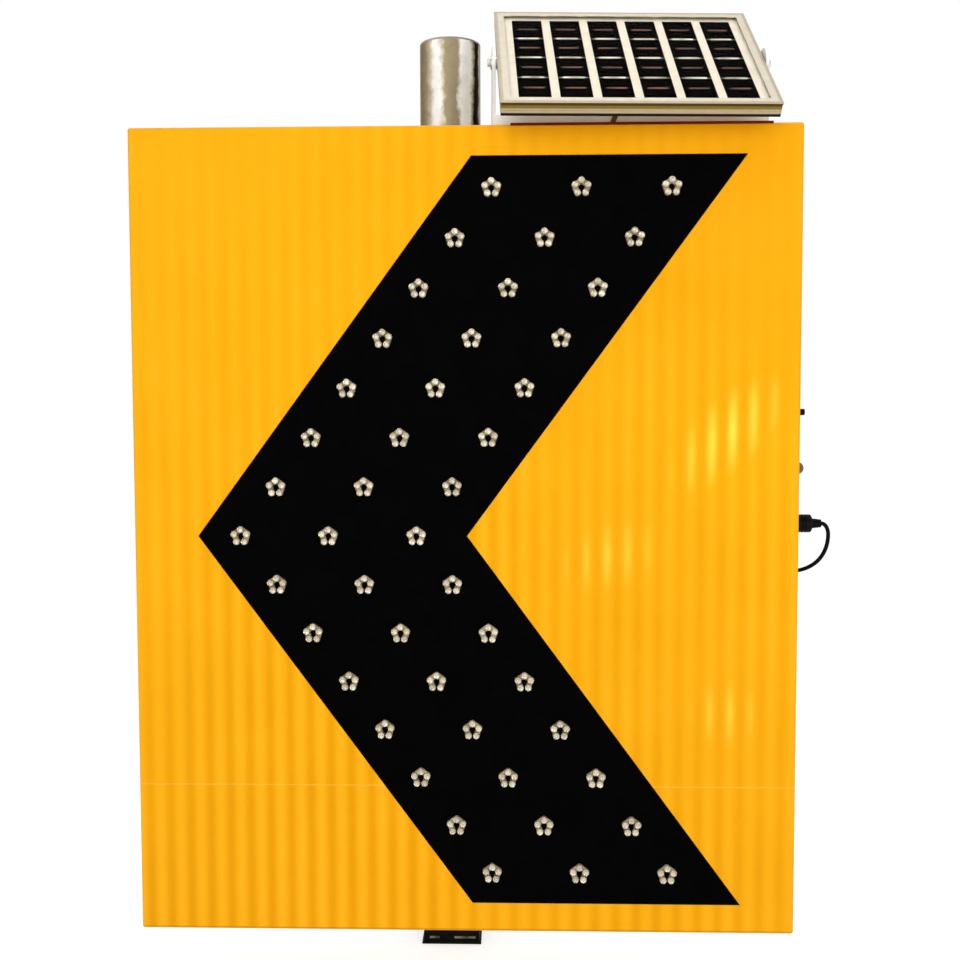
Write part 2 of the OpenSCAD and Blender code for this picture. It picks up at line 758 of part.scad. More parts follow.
// One wire bundle behind the middle column of lamps, in a V
module lamp_wiring() {
    reach = lamp_side_rows * lamp_row_pitch;
    column = floor(lamp_cols / 2) * lamp_col_pitch;
    lean = atan(lamp_slope);
    color("red") at_sign() translate([tip_x + lamp_inset + column,
        sheet_rear_y + bulb_rim_t + board_t + bundle_d / 2, 0]) {
        sphere(d = bundle_d);
        for (turn = [lean, 180 - lean]) rotate([0, turn, 0]) cylinder(d = bundle_d, h = reach / cos(lean));
    }
}

// Battery and controller, carried by the rear cover
module battery_pack() {
    color("royalblue") translate([side_x - battery_in, cover_in_y, sign_cz + battery_z])
        block([-battery_w / 2, -battery_d, -battery_h / 2], [battery_w / 2, 0, battery_h / 2]);
}

module battery_strap() {
    high = battery_h / 2 + battery_gap;
    deep = battery_d + battery_gap;
    foot = high + strap_t_in + strap_foot;
    shape = [[0, -foot], [0, -high], [-deep, -high], [-deep, high], [0, high], [0, foot],
        [-strap_t_in, foot], [-strap_t_in, high + strap_t_in], [-deep - strap_t_in, high + strap_t_in],
        [-deep - strap_t_in, -high - strap_t_in], [-strap_t_in, -high - strap_t_in], [-strap_t_in, -foot]];
    color("silver") difference() {
        translate([side_x - battery_in - strap_w / 2, cover_in_y, sign_cz + battery_z]) rotate([90, 0, 90])
            linear_extrude(strap_w) polygon(shape);
        strap_screw_places() translate([0, over, 0]) to_front()
            cylinder(d = m4_d + 2 * hole_gap, h = strap_t_in + 2 * over);
    }
}

module strap_screws() {
    color("silver") strap_screw_places() translate([0, -strap_t_in, 0]) to_rear()
        pan_screw(m4_d, strap_t_in + cover_t + thread_end);
}

module controller_board() {
    front = cover_in_y - spacer_h - board_t;
    color("green") {
        difference() {
            translate([side_x - control_in, front, sign_cz - control_drop])
                block([-control_w / 2, 0, -control_h / 2], [control_w / 2, board_t, control_h / 2]);
            board_screw_places() to_front() cylinder(d = m4_d + 2 * hole_gap, h = spacer_h + board_t + over);
        }
        for (i = [0 : len(chip_sizes) - 1])
            translate([side_x - control_in + chip_x_shares[i] * control_w, front,
                sign_cz - control_drop + chip_z_shares[i] * control_h])
                block([-chip_sizes[i].x / 2, -chip_sizes[i].z, -chip_sizes[i].y / 2],
                    [chip_sizes[i].x / 2, 0, chip_sizes[i].y / 2]);
    }
}

module board_spacers() {
    color("white") board_screw_places() to_front() washer(m4_d, spacer_d, spacer_h);
}

module board_screws() {
    color("silver") board_screw_places() translate([0, -spacer_h - board_t, 0]) to_rear()
        pan_screw(m4_d, board_t + spacer_h + cover_t + thread_end);
}

// Wires from the switch, the sensor and the socket to the controller board's edge
module fitting_wires() {
    edge = [side_x - control_in + control_w / 2, cover_in_y - spacer_h - board_t / 2, sign_cz - control_drop];
    starts = [[side_x - barrel_len - switch_d, fitting_y, sign_cz + button_z],
        [side_x - barrel_len, fitting_y, sign_cz + sensor_z],
        [side_x - socket_len, fitting_y, sign_cz + socket_z]];
    color("red") for (i = [0 : len(starts) - 1]) {
        drop = (i - 1) * board_edge;
        bend = edge + [(3 - i) * board_edge, 0, drop];
        tube_along([starts[i], starts[i] - [board_edge, 0, 0], [bend.x, starts[i].y, starts[i].z - 2 * board_edge],
            [bend.x, bend.y, drop + edge.z + board_edge], bend, edge + [0, 0, drop]], wire_d);
    }
}

// Side fittings
module barrel(d, flange_d, length) {
    cylinder(d = flange_d, h = fitting_flange_t);
    translate([0, 0, -length]) cylinder(d = d, h = length);
}

module button_bush() {
    color("silver") at_side(button_z) difference() {
        barrel(barrel_d, fitting_d, barrel_len);
        translate([0, 0, -barrel_len - over])
            cylinder(d = plunger_d + 2 * running_gap, h = barrel_len + fitting_flange_t + 2 * over);
    }
}

module button_nut() {
    color("silver") at_side(button_z) translate([0, 0, -wall_t - barrel_nut_t])
        hex_nut(barrel_d, barrel_nut_af, barrel_nut_t);
}

module button_switch() {
    room = collar_t + button_travel + hole_gap;
    color("black") at_side(button_z) translate([0, 0, -barrel_len - switch_d]) difference() {
        block([-switch_w / 2, -switch_w / 2, 0], [switch_w / 2, switch_w / 2, switch_d]);
        translate([0, 0, switch_d - room]) cylinder(d = collar_d + 2 * hole_gap, h = room + over);
    }
}

module button_plunger() {
    color("black") at_side(button_z) {
        translate([0, 0, -barrel_len - collar_t]) cylinder(d = collar_d, h = collar_t);
        translate([0, 0, -barrel_len]) cylinder(d = plunger_d, h = barrel_len + fitting_reach);
    }
}

module sensor_base() {
    color("dimgray") at_side(sensor_z) barrel(barrel_d, fitting_d, barrel_len);
}

module sensor_dome() {
    straight = fitting_reach - fitting_flange_t - dome_d / 2;
    color("lightyellow") at_side(sensor_z) translate([0, 0, fitting_flange_t]) {
        cylinder(d = dome_d, h = straight);
        intersection() {
            translate([0, 0, straight]) sphere(d = dome_d);
            cylinder(d = dome_d + over, h = fitting_reach);
        }
    }
}

module sensor_nut() {
    color("silver") at_side(sensor_z) translate([0, 0, -wall_t - barrel_nut_t])
        hex_nut(barrel_d, barrel_nut_af, barrel_nut_t);
}

module lead_socket() {
    color("black") at_side(socket_z) difference() {
        barrel(socket_barrel_d, socket_d, socket_len);
        translate([0, 0, fitting_flange_t - pin_len - over])
            cylinder(d = pin_d + 2 * hole_gap, h = pin_len + 2 * over);
    }
}

module socket_nut() {
    color("silver") at_side(socket_z) translate([0, 0, -wall_t - barrel_nut_t])
        hex_nut(socket_barrel_d, socket_nut_af, barrel_nut_t);
}

module lead_plug() {
    body = plug_reach - fitting_flange_t - boot_len;
    color("black") at_side(socket_z) translate([0, 0, fitting_flange_t]) {
        translate([0, 0, -pin_len]) cylinder(d = pin_d, h = pin_len);
        cylinder(d = plug_body_d, h = body);
        translate([0, 0, body]) cylinder(d1 = boot_root_d, d2 = boot_tip_d, h = boot_len);
    }
}

// Solar lead and its clips
module solar_lead() {
    color("black") tube_along(lead_route, lead_d);
}

// A bridge over the lead: flat on its underside, with the lead's channel along +Z
module clip() {
    channel = lead_d + 2 * plug_gap;
    difference() {
        block([-clip_w / 2, 0, -clip_len / 2], [clip_w / 2, clip_floor + channel + clip_roof, clip_len / 2]);
        translate([0, clip_floor + channel / 2, -clip_len / 2 - over])
            cylinder(d = channel, h = clip_len + 2 * over);
    }
}

module lead_clips() {
    color("black") translate([0, back_y, 0]) {
        for (place = clip_places) translate([place.x, 0, place.y]) clip();
        translate([clip_edge.x, 0, clip_edge.y]) rotate([0, 90, 0]) clip();
    }
}

module lead_swivel_loop() {
    color("black") tube_along(swivel_loop_route, lead_d);
}

// Yoke
module yoke() {
    low_x = -arm_x - yoke_t;
    color("whitesmoke") at_yoke() difference() {
        translate([swivel_offset, 0, 0]) union() {
            block([low_x, -yoke_w / 2, 0], [-low_x, yoke_w / 2, yoke_t]);
            block([low_x, -yoke_w / 2, yoke_lip_gap - sleeve_h], [-low_x, yoke_t - yoke_w / 2, yoke_t]);
            both_sides() {
                block([arm_x, -yoke_w / 2, 0], [-low_x, yoke_w / 2, yoke_rise]);
                translate([arm_x, 0, yoke_rise]) rotate([0, 90, 0]) cylinder(r = arm_end_r, h = yoke_t);
            }
        }
        translate([swivel_offset, 0, yoke_rise]) both_sides()
            translate([arm_x - over, 0, 0]) rotate([0, 90, 0])
                cylinder(d = m4_d + 2 * running_gap, h = yoke_t + 2 * over);
        translate([0, 0, -over]) cylinder(d = m6_d + 2 * running_gap, h = yoke_t + 2 * over);
    }
}

module yoke_clip() {
    color("black") at_yoke() translate([yoke_clip_x, yoke_clip_y, yoke_t]) rotate([90, 0, 0]) clip();
}

// Swivel bolt, fixed in the box's top wall
module at_swivel() {
    translate([swivel_x, swivel_y, sign_top]) children();
}

module swivel_bolt() {
    color("silver") at_swivel() translate([0, 0, -wall_t])
        hex_bolt(m6_d, m6_af, m6_head, wall_t + sleeve_h + yoke_t + m6_washer_t + m6_nut + thread_end);
}

module swivel_sleeve() {
    color("silver") at_swivel() washer(m6_d, sleeve_d, sleeve_h);
}

module swivel_washer() {
    color("silver") at_swivel() translate([0, 0, sleeve_h + yoke_t]) washer(m6_d, m6_washer_d, m6_washer_t);
}

module swivel_nut() {
    color("silver") at_swivel() translate([0, 0, sleeve_h + yoke_t + m6_washer_t]) hex_nut(m6_d, m6_af, m6_nut);
}

// Tilt pivots: a bolt at each side, clamped to the panel's frame, turning in the yoke's arm
module at_pivots() {
    at_panel() both_sides() rotate([0, 90, 0]) children();
}

module pivot_bolts() {
    grip = pivot_out - frame_wall_x + frame_wall;
    color("silver") at_pivots() translate([0, 0, pivot_out]) rotate([180, 0, 0])
        hex_bolt(m4_d, m4_af, m4_head, grip + m4_nut + thread_end);
}

module pivot_washers() {
    color("silver") at_pivots() {
        translate([0, 0, frame_wall_x]) washer(m4_d, m4_washer_d, pivot_washer_t);
        translate([0, 0, arm_x + yoke_t]) washer(m4_d, m4_washer_d, m4_washer_t);
    }
}

module pivot_nuts() {
    color("silver") at_pivots() translate([0, 0, frame_wall_x - frame_wall - m4_nut]) rotate([0, 0, 30])
        hex_nut(m4_d, m4_af, m4_nut);
}

// Solar panel: four mitred frame bars round the glass
module frame_bar(half, length) {
    wall = half - frame_step;
    inner = wall - frame_wall;
    profile = [[half, axis_drop], [half - lip_w, axis_drop], [half - lip_w, axis_drop - lip_t],
        [inner, axis_drop - lip_t], [inner, shelf_z], [half - lip_w, shelf_z], [half - lip_w, shelf_z - lip_t],
        [inner, shelf_z - lip_t], [inner, axis_drop - panel_h], [wall, axis_drop - panel_h],
        [wall, axis_drop - lip_t - frame_step], [half, axis_drop - lip_t - frame_step]];
    end = length / 2 - mitre_gap;
    mitre = [[half - lip_w - over, end - lip_w - over], [half, end], [half + over, end + over],
        [half + over, -end - over], [half, -end], [half - lip_w - over, over + lip_w - end]];
    intersection() {
        translate([0, end + over, 0]) rotate([90, 0, 0]) linear_extrude(length + 2 * over) polygon(profile);
        translate([0, 0, -2 * panel_h]) linear_extrude(4 * panel_h) polygon(mitre);
    }
}

module panel_frame() {
    color("lightgray") at_panel() difference() {
        union() {
            both_sides() frame_bar(panel_w / 2, panel_l);
            for (turn = [90, 270]) rotate([0, 0, turn]) frame_bar(panel_l / 2, panel_w);
        }
        both_sides() translate([frame_wall_x - frame_wall - over, 0, 0]) rotate([0, 90, 0])
            cylinder(d = m4_d + 2 * hole_gap, h = frame_wall + frame_step + 2 * over);
    }
}

module panel_sheet(z, thickness) {
    at_panel() block([-laminate_w / 2, -laminate_l / 2, z], [laminate_w / 2, laminate_l / 2, z + thickness]);
}

module panel_glass() {
    color("lightblue") panel_sheet(glass_z, glass_t);
}

module panel_cells() {
    step_x = cell_w + cell_col_gap;
    step_y = cell_l + cell_row_gap;
    color("black") at_panel()
        for (i = [0 : cell_cols - 1], j = [0 : cell_rows - 1])
            translate([(i - (cell_cols - 1) / 2) * step_x, (j - (cell_rows - 1) / 2) * step_y, cell_z])
                block([-cell_w / 2, -cell_l / 2, 0], [cell_w / 2, cell_l / 2, cell_t]);
}

module panel_backsheet() {
    color("white") panel_sheet(backsheet_z, backsheet_t);
}

// Junction box glued under the panel
module junction_box() {
    color("black") at_panel() translate([0, box_slope, backsheet_z - box_jh])
        block([-box_jw / 2, -box_jl / 2, 0], [box_jw / 2, box_jl / 2, box_jh]);
}

module junction_lid() {
    color("dimgray") at_panel() translate([0, box_slope, backsheet_z - box_jh - lid_t])
        block([-box_jw / 2, -box_jl / 2, 0], [box_jw / 2, box_jl / 2, lid_t]);
}

module lead_gland() {
    color("black") at_panel() translate([box_jw / 4, box_slope - box_jl / 2, backsheet_z - box_jh / 2]) to_front()
        cylinder(d = gland_d, h = gland_len);
}

// Lead from the yoke's clip to the gland, slack for the tilt
module lead_tilt_loop() {
    color("black") tube_along(tilt_loop_route, lead_d);
}

post_tube();
post_cap();
post_foot();
clamp_front_lower();
clamp_front_upper();
clamp_rear_lower();
clamp_rear_upper();
clamp_bolts();
clamp_washers();
clamp_nuts();
rail_lower();
rail_upper();
rail_bolts();
rail_nuts();
rear_cover();
cover_seal();
cover_screws();
front_tray();
face_film();
chevron_film();
lamp_bulbs();
lamp_boards();
lamp_wiring();
battery_pack();
battery_strap();
strap_screws();
controller_board();
board_spacers();
board_screws();
fitting_wires();
button_bush();
button_nut();
button_switch();
button_plunger();
sensor_base();
sensor_dome();
sensor_nut();
lead_socket();
socket_nut();
lead_plug();
solar_lead();
lead_clips();
lead_swivel_loop();
lead_tilt_loop();
yoke();
yoke_clip();
swivel_bolt();
swivel_sleeve();
swivel_washer();
swivel_nut();
pivot_bolts();
pivot_washers();
pivot_nuts();
panel_frame();
panel_glass();
panel_cells();
panel_backsheet();
junction_box();
junction_lid();
lead_gland();
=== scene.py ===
# Solar lamp chevron sign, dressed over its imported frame.
# Lengths are written in millimetres and turned to metres. Origin under the foot, +Z up, the face looks to -Y.
import math

import bmesh
import bpy
from mathutils import Matrix, Vector


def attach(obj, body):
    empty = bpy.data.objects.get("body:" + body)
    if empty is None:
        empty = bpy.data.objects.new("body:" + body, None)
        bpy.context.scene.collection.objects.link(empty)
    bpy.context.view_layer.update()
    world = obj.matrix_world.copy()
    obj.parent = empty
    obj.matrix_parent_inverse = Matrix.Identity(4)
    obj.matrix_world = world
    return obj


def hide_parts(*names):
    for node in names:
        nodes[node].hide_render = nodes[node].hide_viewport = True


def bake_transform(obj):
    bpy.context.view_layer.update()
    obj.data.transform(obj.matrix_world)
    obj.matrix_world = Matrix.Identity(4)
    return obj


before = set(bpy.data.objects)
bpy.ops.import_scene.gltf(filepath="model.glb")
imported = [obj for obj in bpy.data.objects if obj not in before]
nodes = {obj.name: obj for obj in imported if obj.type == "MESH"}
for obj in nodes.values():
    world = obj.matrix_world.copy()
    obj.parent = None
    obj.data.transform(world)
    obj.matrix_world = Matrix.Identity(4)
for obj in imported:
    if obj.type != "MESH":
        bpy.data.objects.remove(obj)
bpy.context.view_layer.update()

# Camera: a little over a metre in front of the face, right of the post and above the sign's middle,
# looking three degrees down with a 43 mm lens on a 36 mm frame.
camera = bpy.data.cameras.new("camera")
camera.lens = 43.15
camera.sensor_width = 36.0
viewer = bpy.data.objects.new("camera", camera)
viewer.location = (0.06007, -1.1686, 0.53838)
viewer.rotation_euler = [math.radians(turn) for turn in (86.686, 0.1167, 1.523)]
bpy.context.scene.collection.objects.link(viewer)
bpy.context.scene.camera = viewer

# Solar lead: a round cable in a black PVC sheath, plugged into the side of the box, clipped up
# its back and left slack at the yoke's swivel and at the panel's tilt. One lead, in three lengths.
mm = 0.001
lead_d = 3.8
lead_back = -55.7
# The socket sits near the middle of the box's right side.
side_x, socket_y, socket_z = 322.5, -93.2, 435.5
plug_exit = Vector((348.5, socket_y, socket_z))
loop_steps = [(0, 0, 0), (2.5, 0, 0), (5.5, 0.2, -3), (7.3, 0.7, -7.5), (7.5, 1.2, -13), (7, 2.2, -19.5),
              (5, 3.2, -26.5), (1.5, 5.2, -33.5), (-3.5, 7.2, -39), (-9.5, 11.2, -43.5), (-15.5, 17.2, -46.5),
              (-20.5, 25.2, -48.5)]
edge_at = Vector((side_x, lead_back, socket_z))
edge_steps = [(3, -5.3, -50), (-0.5, -0.8, -51), (-7.5, 0, -51.5), (-17.5, 0, -51.5), (-27.5, 0, -50),
              (-35.5, 0, -44.5), (-40.5, 0, -36.5), (-42.5, 0, -26.5)]
lead_top = Vector((186, lead_back, 784))
# Up the back the lead crosses from the side to the yoke in a flat S of ten steps.
cross_x, cross_w, cross_z, cross_rise, cross_steps = 280, 94, 687.5, 8.4, 10
cross = [Vector((cross_x - cross_w * (1 - math.cos(math.pi * i / cross_steps)) / 2, lead_back,
                 cross_z + cross_rise * i)) for i in range(cross_steps + 1)]
yoke_clip_at = Vector((186.607, -79.691, 812))
# The yoke's own frame is turned on the swivel bolt. The panel's is moved along the yoke, then tilted.
yoke_place = Matrix.Translation((157, -88.2, 805.5)) @ Matrix.Rotation(math.radians(2.9), 4, "Z")
panel_place = yoke_place @ Matrix.Translation((12, 0, 53.5)) @ Matrix.Rotation(math.radians(40.7), 4, "X")
gland_x, gland_z = 13, -2.6
gland_end = panel_place @ Vector((gland_x, -1, gland_z))


def steps_from(start, steps):
    """The places at these steps from a start."""
    return [start + Vector(step) for step in steps]


lead_route = steps_from(plug_exit, loop_steps) + steps_from(edge_at, edge_steps) + cross + [lead_top]
swivel_route = steps_from(lead_top, [(0, 0, 0), (0, 0, 8), (0, -0.6, 15), (0, -3.3, 21.5), (0, -8.3, 26.5)])
swivel_route += steps_from(yoke_clip_at, [(-0.5, 9.7, 0), (-0.2, 4.7, 0), (0, 0, 0)])
tilt_route = steps_from(yoke_clip_at, [(0, 0, 0), (0.2, -4.7, 0), (-0.1, -11.3, 2.5), (-0.6, -16.3, 8),
                                       (-1.3, -18.8, 16)])
tilt_route += steps_from(gland_end, [(2.6, -12.5, -19.4), (1.4, -10, -11.4), (0.6, -7, -6.5)])
tilt_route += [panel_place @ Vector((gland_x, -6, gland_z)), gland_end]


def colour(code):
    """An sRGB hex code as the linear colour that a shader takes."""
    parts = [int(code[i:i + 2], 16) / 255 for i in (1, 3, 5)]
    return [c / 12.92 if c <= 0.04045 else ((c + 0.055) / 1.055) ** 2.4 for c in parts] + [1.0]


def add(tree, kind, inputs=None, **settings):
    """A new node, with its settings, and its inputs linked or set."""
    made = tree.nodes.new(kind)
    for key, value in settings.items():
        setattr(made, key, value)
    for key, value in (inputs or {}).items():
        if isinstance(value, bpy.types.NodeSocket):
            tree.links.new(value, made.inputs[key])
        else:
            made.inputs[key].default_value = value
    return made


def blank(name, sockets):
    """A new material with its node tree and shader, and constants set on the shader's own sockets."""
    material = bpy.data.materials.new(name)
    material.use_nodes = True
    shader = material.node_tree.nodes["Principled BSDF"]
    for key, value in sockets.items():
        shader.inputs[key].default_value = value
    return material, material.node_tree, shader


def finish(name, low, high, rough, grain, depth, sockets=None, stretch=(1, 1, 1)):
    """Two mottled colours, roughness between two values, and a grain and its depth in millimetres."""
    material, tree, shader = blank(name, sockets or {})
    place = add(tree, "ShaderNodeTexCoord").outputs["Object"]
    place = add(tree, "ShaderNodeMapping", {"Vector": place, "Scale": stretch}).outputs["Vector"]
    blotch = add(tree, "ShaderNodeTexNoise", {"Vector": place, "Scale": 1 / (12 * grain * mm), "Detail": 4.0})
    fine = add(tree, "ShaderNodeTexNoise", {"Vector": place, "Scale": 1 / (grain * mm), "Detail": 3.0})
    tone = add(tree, "ShaderNodeMapRange", {"Value": blotch.outputs["Fac"], "From Min": 0.35, "From Max": 0.65})
    paint = add(tree, "ShaderNodeMix", {"Factor": tone.outputs["Result"], 6: colour(low), 7: colour(high)},
                data_type="RGBA")
    polish = add(tree, "ShaderNodeMapRange", {"Value": fine.outputs["Fac"], "From Min": 0.3, "From Max": 0.7,
                                              "To Min": rough[0], "To Max": rough[1]})
    relief = add(tree, "ShaderNodeBump", {"Height": fine.outputs["Fac"], "Distance": depth * mm})
    tree.links.new(paint.outputs[2], shader.inputs["Base Color"])
    tree.links.new(polish.outputs["Result"], shader.inputs["Roughness"])
    tree.links.new(relief.outputs["Normal"], shader.inputs["Normal"])
    return material


def lead_length(name, route):
    """A round length of lead along a route."""
    curve = bpy.data.curves.new(name, "CURVE")
    curve.dimensions = "3D"
    curve.bevel_depth = lead_d / 2 * mm
    curve.bevel_resolution = 4
    curve.use_fill_caps = True
    spline = curve.splines.new("NURBS")
    spline.points.add(len(route) - 1)
    for point, place in zip(spline.points, route):
        point.co = (*(place * mm), 1)
    spline.order_u = 3
    spline.use_endpoint_u = True
    spline.resolution_u = 5
    rod = bpy.data.objects.new(name, curve)
    bpy.context.scene.collection.objects.link(rod)
    mesh = bpy.data.meshes.new_from_object(rod.evaluated_get(bpy.context.evaluated_depsgraph_get()))
    bpy.data.objects.remove(rod)
    mesh.name = name
    mesh.materials.clear()
    mesh.materials.append(sheath)
    mesh.shade_smooth()
    length = bpy.data.objects.new(name, mesh)
    bpy.context.scene.collection.objects.link(length)
    return length


# The sheath is a soft, half matt black, with little shine of its own.
sheath = finish("PVC cable sheath", "#060606", "#0F0E0E", (0.42, 0.58), 0.8, 0.03, {"Specular IOR Level": 0.05})
lead_run = lead_length("lead_run", lead_route)
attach(lead_run, "sign")
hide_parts("solar_lead")
swivel_slack = lead_length("swivel_slack", swivel_route)
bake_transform(swivel_slack)
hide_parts("lead_swivel_loop")
tilt_slack = lead_length("tilt_slack", tilt_route)
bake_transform(tilt_slack)
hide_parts("lead_tilt_loop")


# Post: hot-dip galvanised steel pipe, streaked lengthways in bright and dull runs with blotches of spangle
# across them.
# The runs are partly zinc drained down it from the bath and partly painted reflections, set by angle round the
# post.
def dress(material, *names):
    """Gives CAD nodes their material."""
    for name in names:
        nodes[name].data.materials.clear()
        nodes[name].data.materials.append(material)


def fill(ramp, stops):
    """Sets a colour ramp's stops, each a place from 0 to 1 and a colour code."""
    while len(ramp.elements) < len(stops):
        ramp.elements.new(0.5)
    for element, (position, code) in zip(ramp.elements, stops):
        element.position = position
        element.color = colour(code)


# To the eye the zinc is pale and dark runs side by side, partly painted reflections, with a soft sheen that
# hardly moves.
galvanised, tree, zinc = blank("hot-dip galvanised steel", {"Metallic": 0.2, "Specular IOR Level": 0.0})
place = add(tree, "ShaderNodeTexCoord").outputs["Object"]
axes = add(tree, "ShaderNodeSeparateXYZ", {"Vector": place})
toward = add(tree, "ShaderNodeMath", {0: axes.outputs["Y"], 1: -1.0}, operation="MULTIPLY")
around = add(tree, "ShaderNodeMath", {0: axes.outputs["X"], 1: toward.outputs[0]}, operation="ARCTAN2")
# Blotches some 15 mm long push the runs to and fro by a few degrees.
long_place = add(tree, "ShaderNodeMapping", {"Vector": place, "Scale": (1, 1, 0.7)})
wander = add(tree, "ShaderNodeTexNoise", {"Vector": long_place.outputs["Vector"], "Scale": 1 / (12 * mm),
                                          "Detail": 5.0, "Roughness": 0.65})
drift = add(tree, "ShaderNodeMapRange", {"Value": wander.outputs["Fac"], "From Min": 0.25, "From Max": 0.75,
                                         "To Min": -0.12, "To Max": 0.12})
turned = add(tree, "ShaderNodeMath", {0: around.outputs[0], 1: drift.outputs["Result"]}, operation="ADD")
share = add(tree, "ShaderNodeMapRange", {"Value": turned.outputs[0], "From Min": -math.pi, "From Max": math.pi})
streaks_and_reflections = add(tree, "ShaderNodeValToRGB", {"Fac": share.outputs["Result"]})
bright, dull, grey, olive, dark_reflection = "#FFFFFA", "#CFC4AA", "#9C9074", "#84734A", "#140A02"
# Degrees round from the front, with the tone there: zinc runs and painted reflections. The dark band from 55 to
# 68 degrees is a painted reflection.
runs_and_reflections = [(-180, grey), (-150, bright), (-118, grey), (-92, dull), (-66, olive), (-46, grey), (-36, dull),
        (-29, bright), (-19, bright), (-11, dull), (-6, grey), (16, grey), (23, bright), (42, bright),
        (47, dull), (51, grey), (55, dark_reflection), (68, dark_reflection), (73, dull), (92, dull), (128, bright), (152, dull),
        (174, grey)]
fill(streaks_and_reflections.color_ramp, [(degrees / 360 + 0.5, run) for degrees, run in runs_and_reflections])
spangle = add(tree, "ShaderNodeTexVoronoi", {"Vector": place, "Scale": 1 / (7 * mm)})
frost = add(tree, "ShaderNodeMapRange", {"Value": spangle.outputs["Color"], "To Min": 0.9, "To Max": 1.05})
frosted = add(tree, "ShaderNodeVectorMath", {0: streaks_and_reflections.outputs["Color"], 1: frost.outputs["Result"]},
              operation="MULTIPLY")
polish = add(tree, "ShaderNodeMapRange", {"Value": wander.outputs["Fac"], "From Min": 0.3, "From Max": 0.7,
                                          "To Min": 0.26, "To Max": 0.46})
relief = add(tree, "ShaderNodeBump", {"Height": wander.outputs["Fac"], "Distance": 0.4 * mm, "Strength": 0.5})
tree.links.new(frosted.outputs[0], zinc.inputs["Base Color"])
tree.links.new(polish.outputs["Result"], zinc.inputs["Roughness"])
tree.links.new(relief.outputs["Normal"], zinc.inputs["Normal"])
dress(galvanised, "post_tube")


# Post plugs: injection-moulded polyethylene pushed into both ends of the pipe, black at the foot.
# Their edges are slightly rounded by the mould, and two low bars on the foot's front are pale.
def soften(width, *names):
    """Rounds the sharp edges of CAD nodes, after joining their flats into whole faces."""
    for name in names:
        weld = nodes[name].modifiers.new("weld", "WELD")
        weld.merge_threshold = 0.01 * mm
        flats = nodes[name].modifiers.new("flats", "DECIMATE")
        flats.decimate_type = "DISSOLVE"
        flats.angle_limit = math.radians(0.5)
        edges = nodes[name].modifiers.new("edges", "BEVEL")
        edges.width = width * mm
        edges.segments = 2
        edges.limit_method = "ANGLE"
        edges.angle_limit = math.radians(40)


def add_strip(form, place, centre, size, edge):
    """A flat strip with rounded edges, in millimetres in a frame of its own."""
    sized = Matrix.Translation(centre) @ Matrix.Diagonal((*size, 1))
    corners = bmesh.ops.create_cube(form, size=1.0, matrix=Matrix.Scale(mm, 4) @ place @ sized)["verts"]
    sides = list({side for corner in corners for side in corner.link_edges})
    bmesh.ops.bevel(form, geom=sides, offset=edge * mm, affect="EDGES", segments=2, profile=0.5, material=-1)


def add_piece(name, form, material, body):
    """A new piece of one material that rides on a body."""
    mesh = bpy.data.meshes.new(name)
    form.to_mesh(mesh)
    form.free()
    mesh.materials.append(material)
    piece = bpy.data.objects.new(name, mesh)
    bpy.context.scene.collection.objects.link(piece)
    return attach(piece, body)


# The plugs are waxy and even. The bars are the same plastic in a mottled pale olive grey.
black_plug = finish("moulded black polyethylene", "#030303", "#0B0A0A", (0.42, 0.6), 1.2, 0.05,
                    {"Specular IOR Level": 0.06})
grey_plug = finish("moulded grey polyethylene", "#8F8A7F", "#A8A397", (0.42, 0.6), 1.2, 0.05)
dress(black_plug, "post_foot")
dress(grey_plug, "post_cap")
soften(0.6, "post_foot", "post_cap")
pale_bar_plastic = finish("pale olive polyethylene", "#4A4634", "#8F8868", (0.5, 0.65), 0.8, 0.05,
                 {"Specular IOR Level": 0.1})
foot_front, bar_z, bar_t, bar_h = -28.3, 6.6, 0.6, 2.2
bars = bmesh.new()
for bar_x, bar_w in [(-17.3, 9.8), (13.4, 21.5)]:
    add_strip(bars, Matrix.Identity(4), (bar_x, foot_front, bar_z), (bar_w, bar_t, bar_h), 0.2)
add_piece("foot_bars", bars, pale_bar_plastic, "post")

# Post clamps: two sand-cast aluminium halves round the pipe, drawn together by bolts through the rail.
# To the eye the casting's skin is a grainy, dull grey metal.
cast = finish("sand-cast aluminium", "#8D8C88", "#A9A8A3", (0.42, 0.62), 1.0, 0.18, {"Metallic": 1.0})
clamps = ["clamp_front_lower", "clamp_front_upper", "clamp_rear_lower", "clamp_rear_upper"]
dress(cast, *clamps)
soften(0.8, *clamps)

# Bolts, nuts, washers and screws: cold-headed steel with a bright zinc plating, dulled by weather.
# They give small pale glints with a faint bloom between them.
plated = finish("zinc-plated steel", "#A7A59C", "#C9C7BF", (0.22, 0.42), 0.9, 0.02, {"Metallic": 1.0})
dress(plated, "clamp_bolts", "clamp_washers", "clamp_nuts", "rail_bolts", "rail_nuts", "cover_screws",
      "strap_screws", "board_screws", "button_nut", "sensor_nut", "socket_nut", "swivel_bolt", "swivel_sleeve",
      "swivel_washer", "swivel_nut", "pivot_bolts", "pivot_washers", "pivot_nuts", "battery_strap")
soften(0.25, "clamp_bolts", "clamp_nuts", "rail_bolts", "swivel_nut", "pivot_bolts")

# Box and rails: rolled aluminium sheet, folded and screwed together, left in its mill finish.
# It shows soft, upright bands of light and shade along the way it was rolled.
rolled = finish("mill-finish aluminium sheet", "#B3B2AE", "#C9C8C4", (0.28, 0.44), 1.4, 0.02, {"Metallic": 1.0},
                stretch=(1, 1, 0.06))
dress(rolled, "front_tray", "rear_cover", "rail_lower", "rail_upper")
soften(0.5, "rail_lower", "rail_upper")

# Cover screws: button heads with a socket, driven through the rear cover's rim into the tray's flange.
# They are of the same plated steel as the bolts.
screw_outline = [(0.6, 0), (0.6, 1.3), (2.2, 1.4), (2.35, 1.7), (2.2, 2.4), (1.7, 3.2), (0.9, 3.8), (0.2, 4),
                 (0, 3.9), (0, 2), (-9, 2), (-9.5, 1.4), (-9.5, 0)]


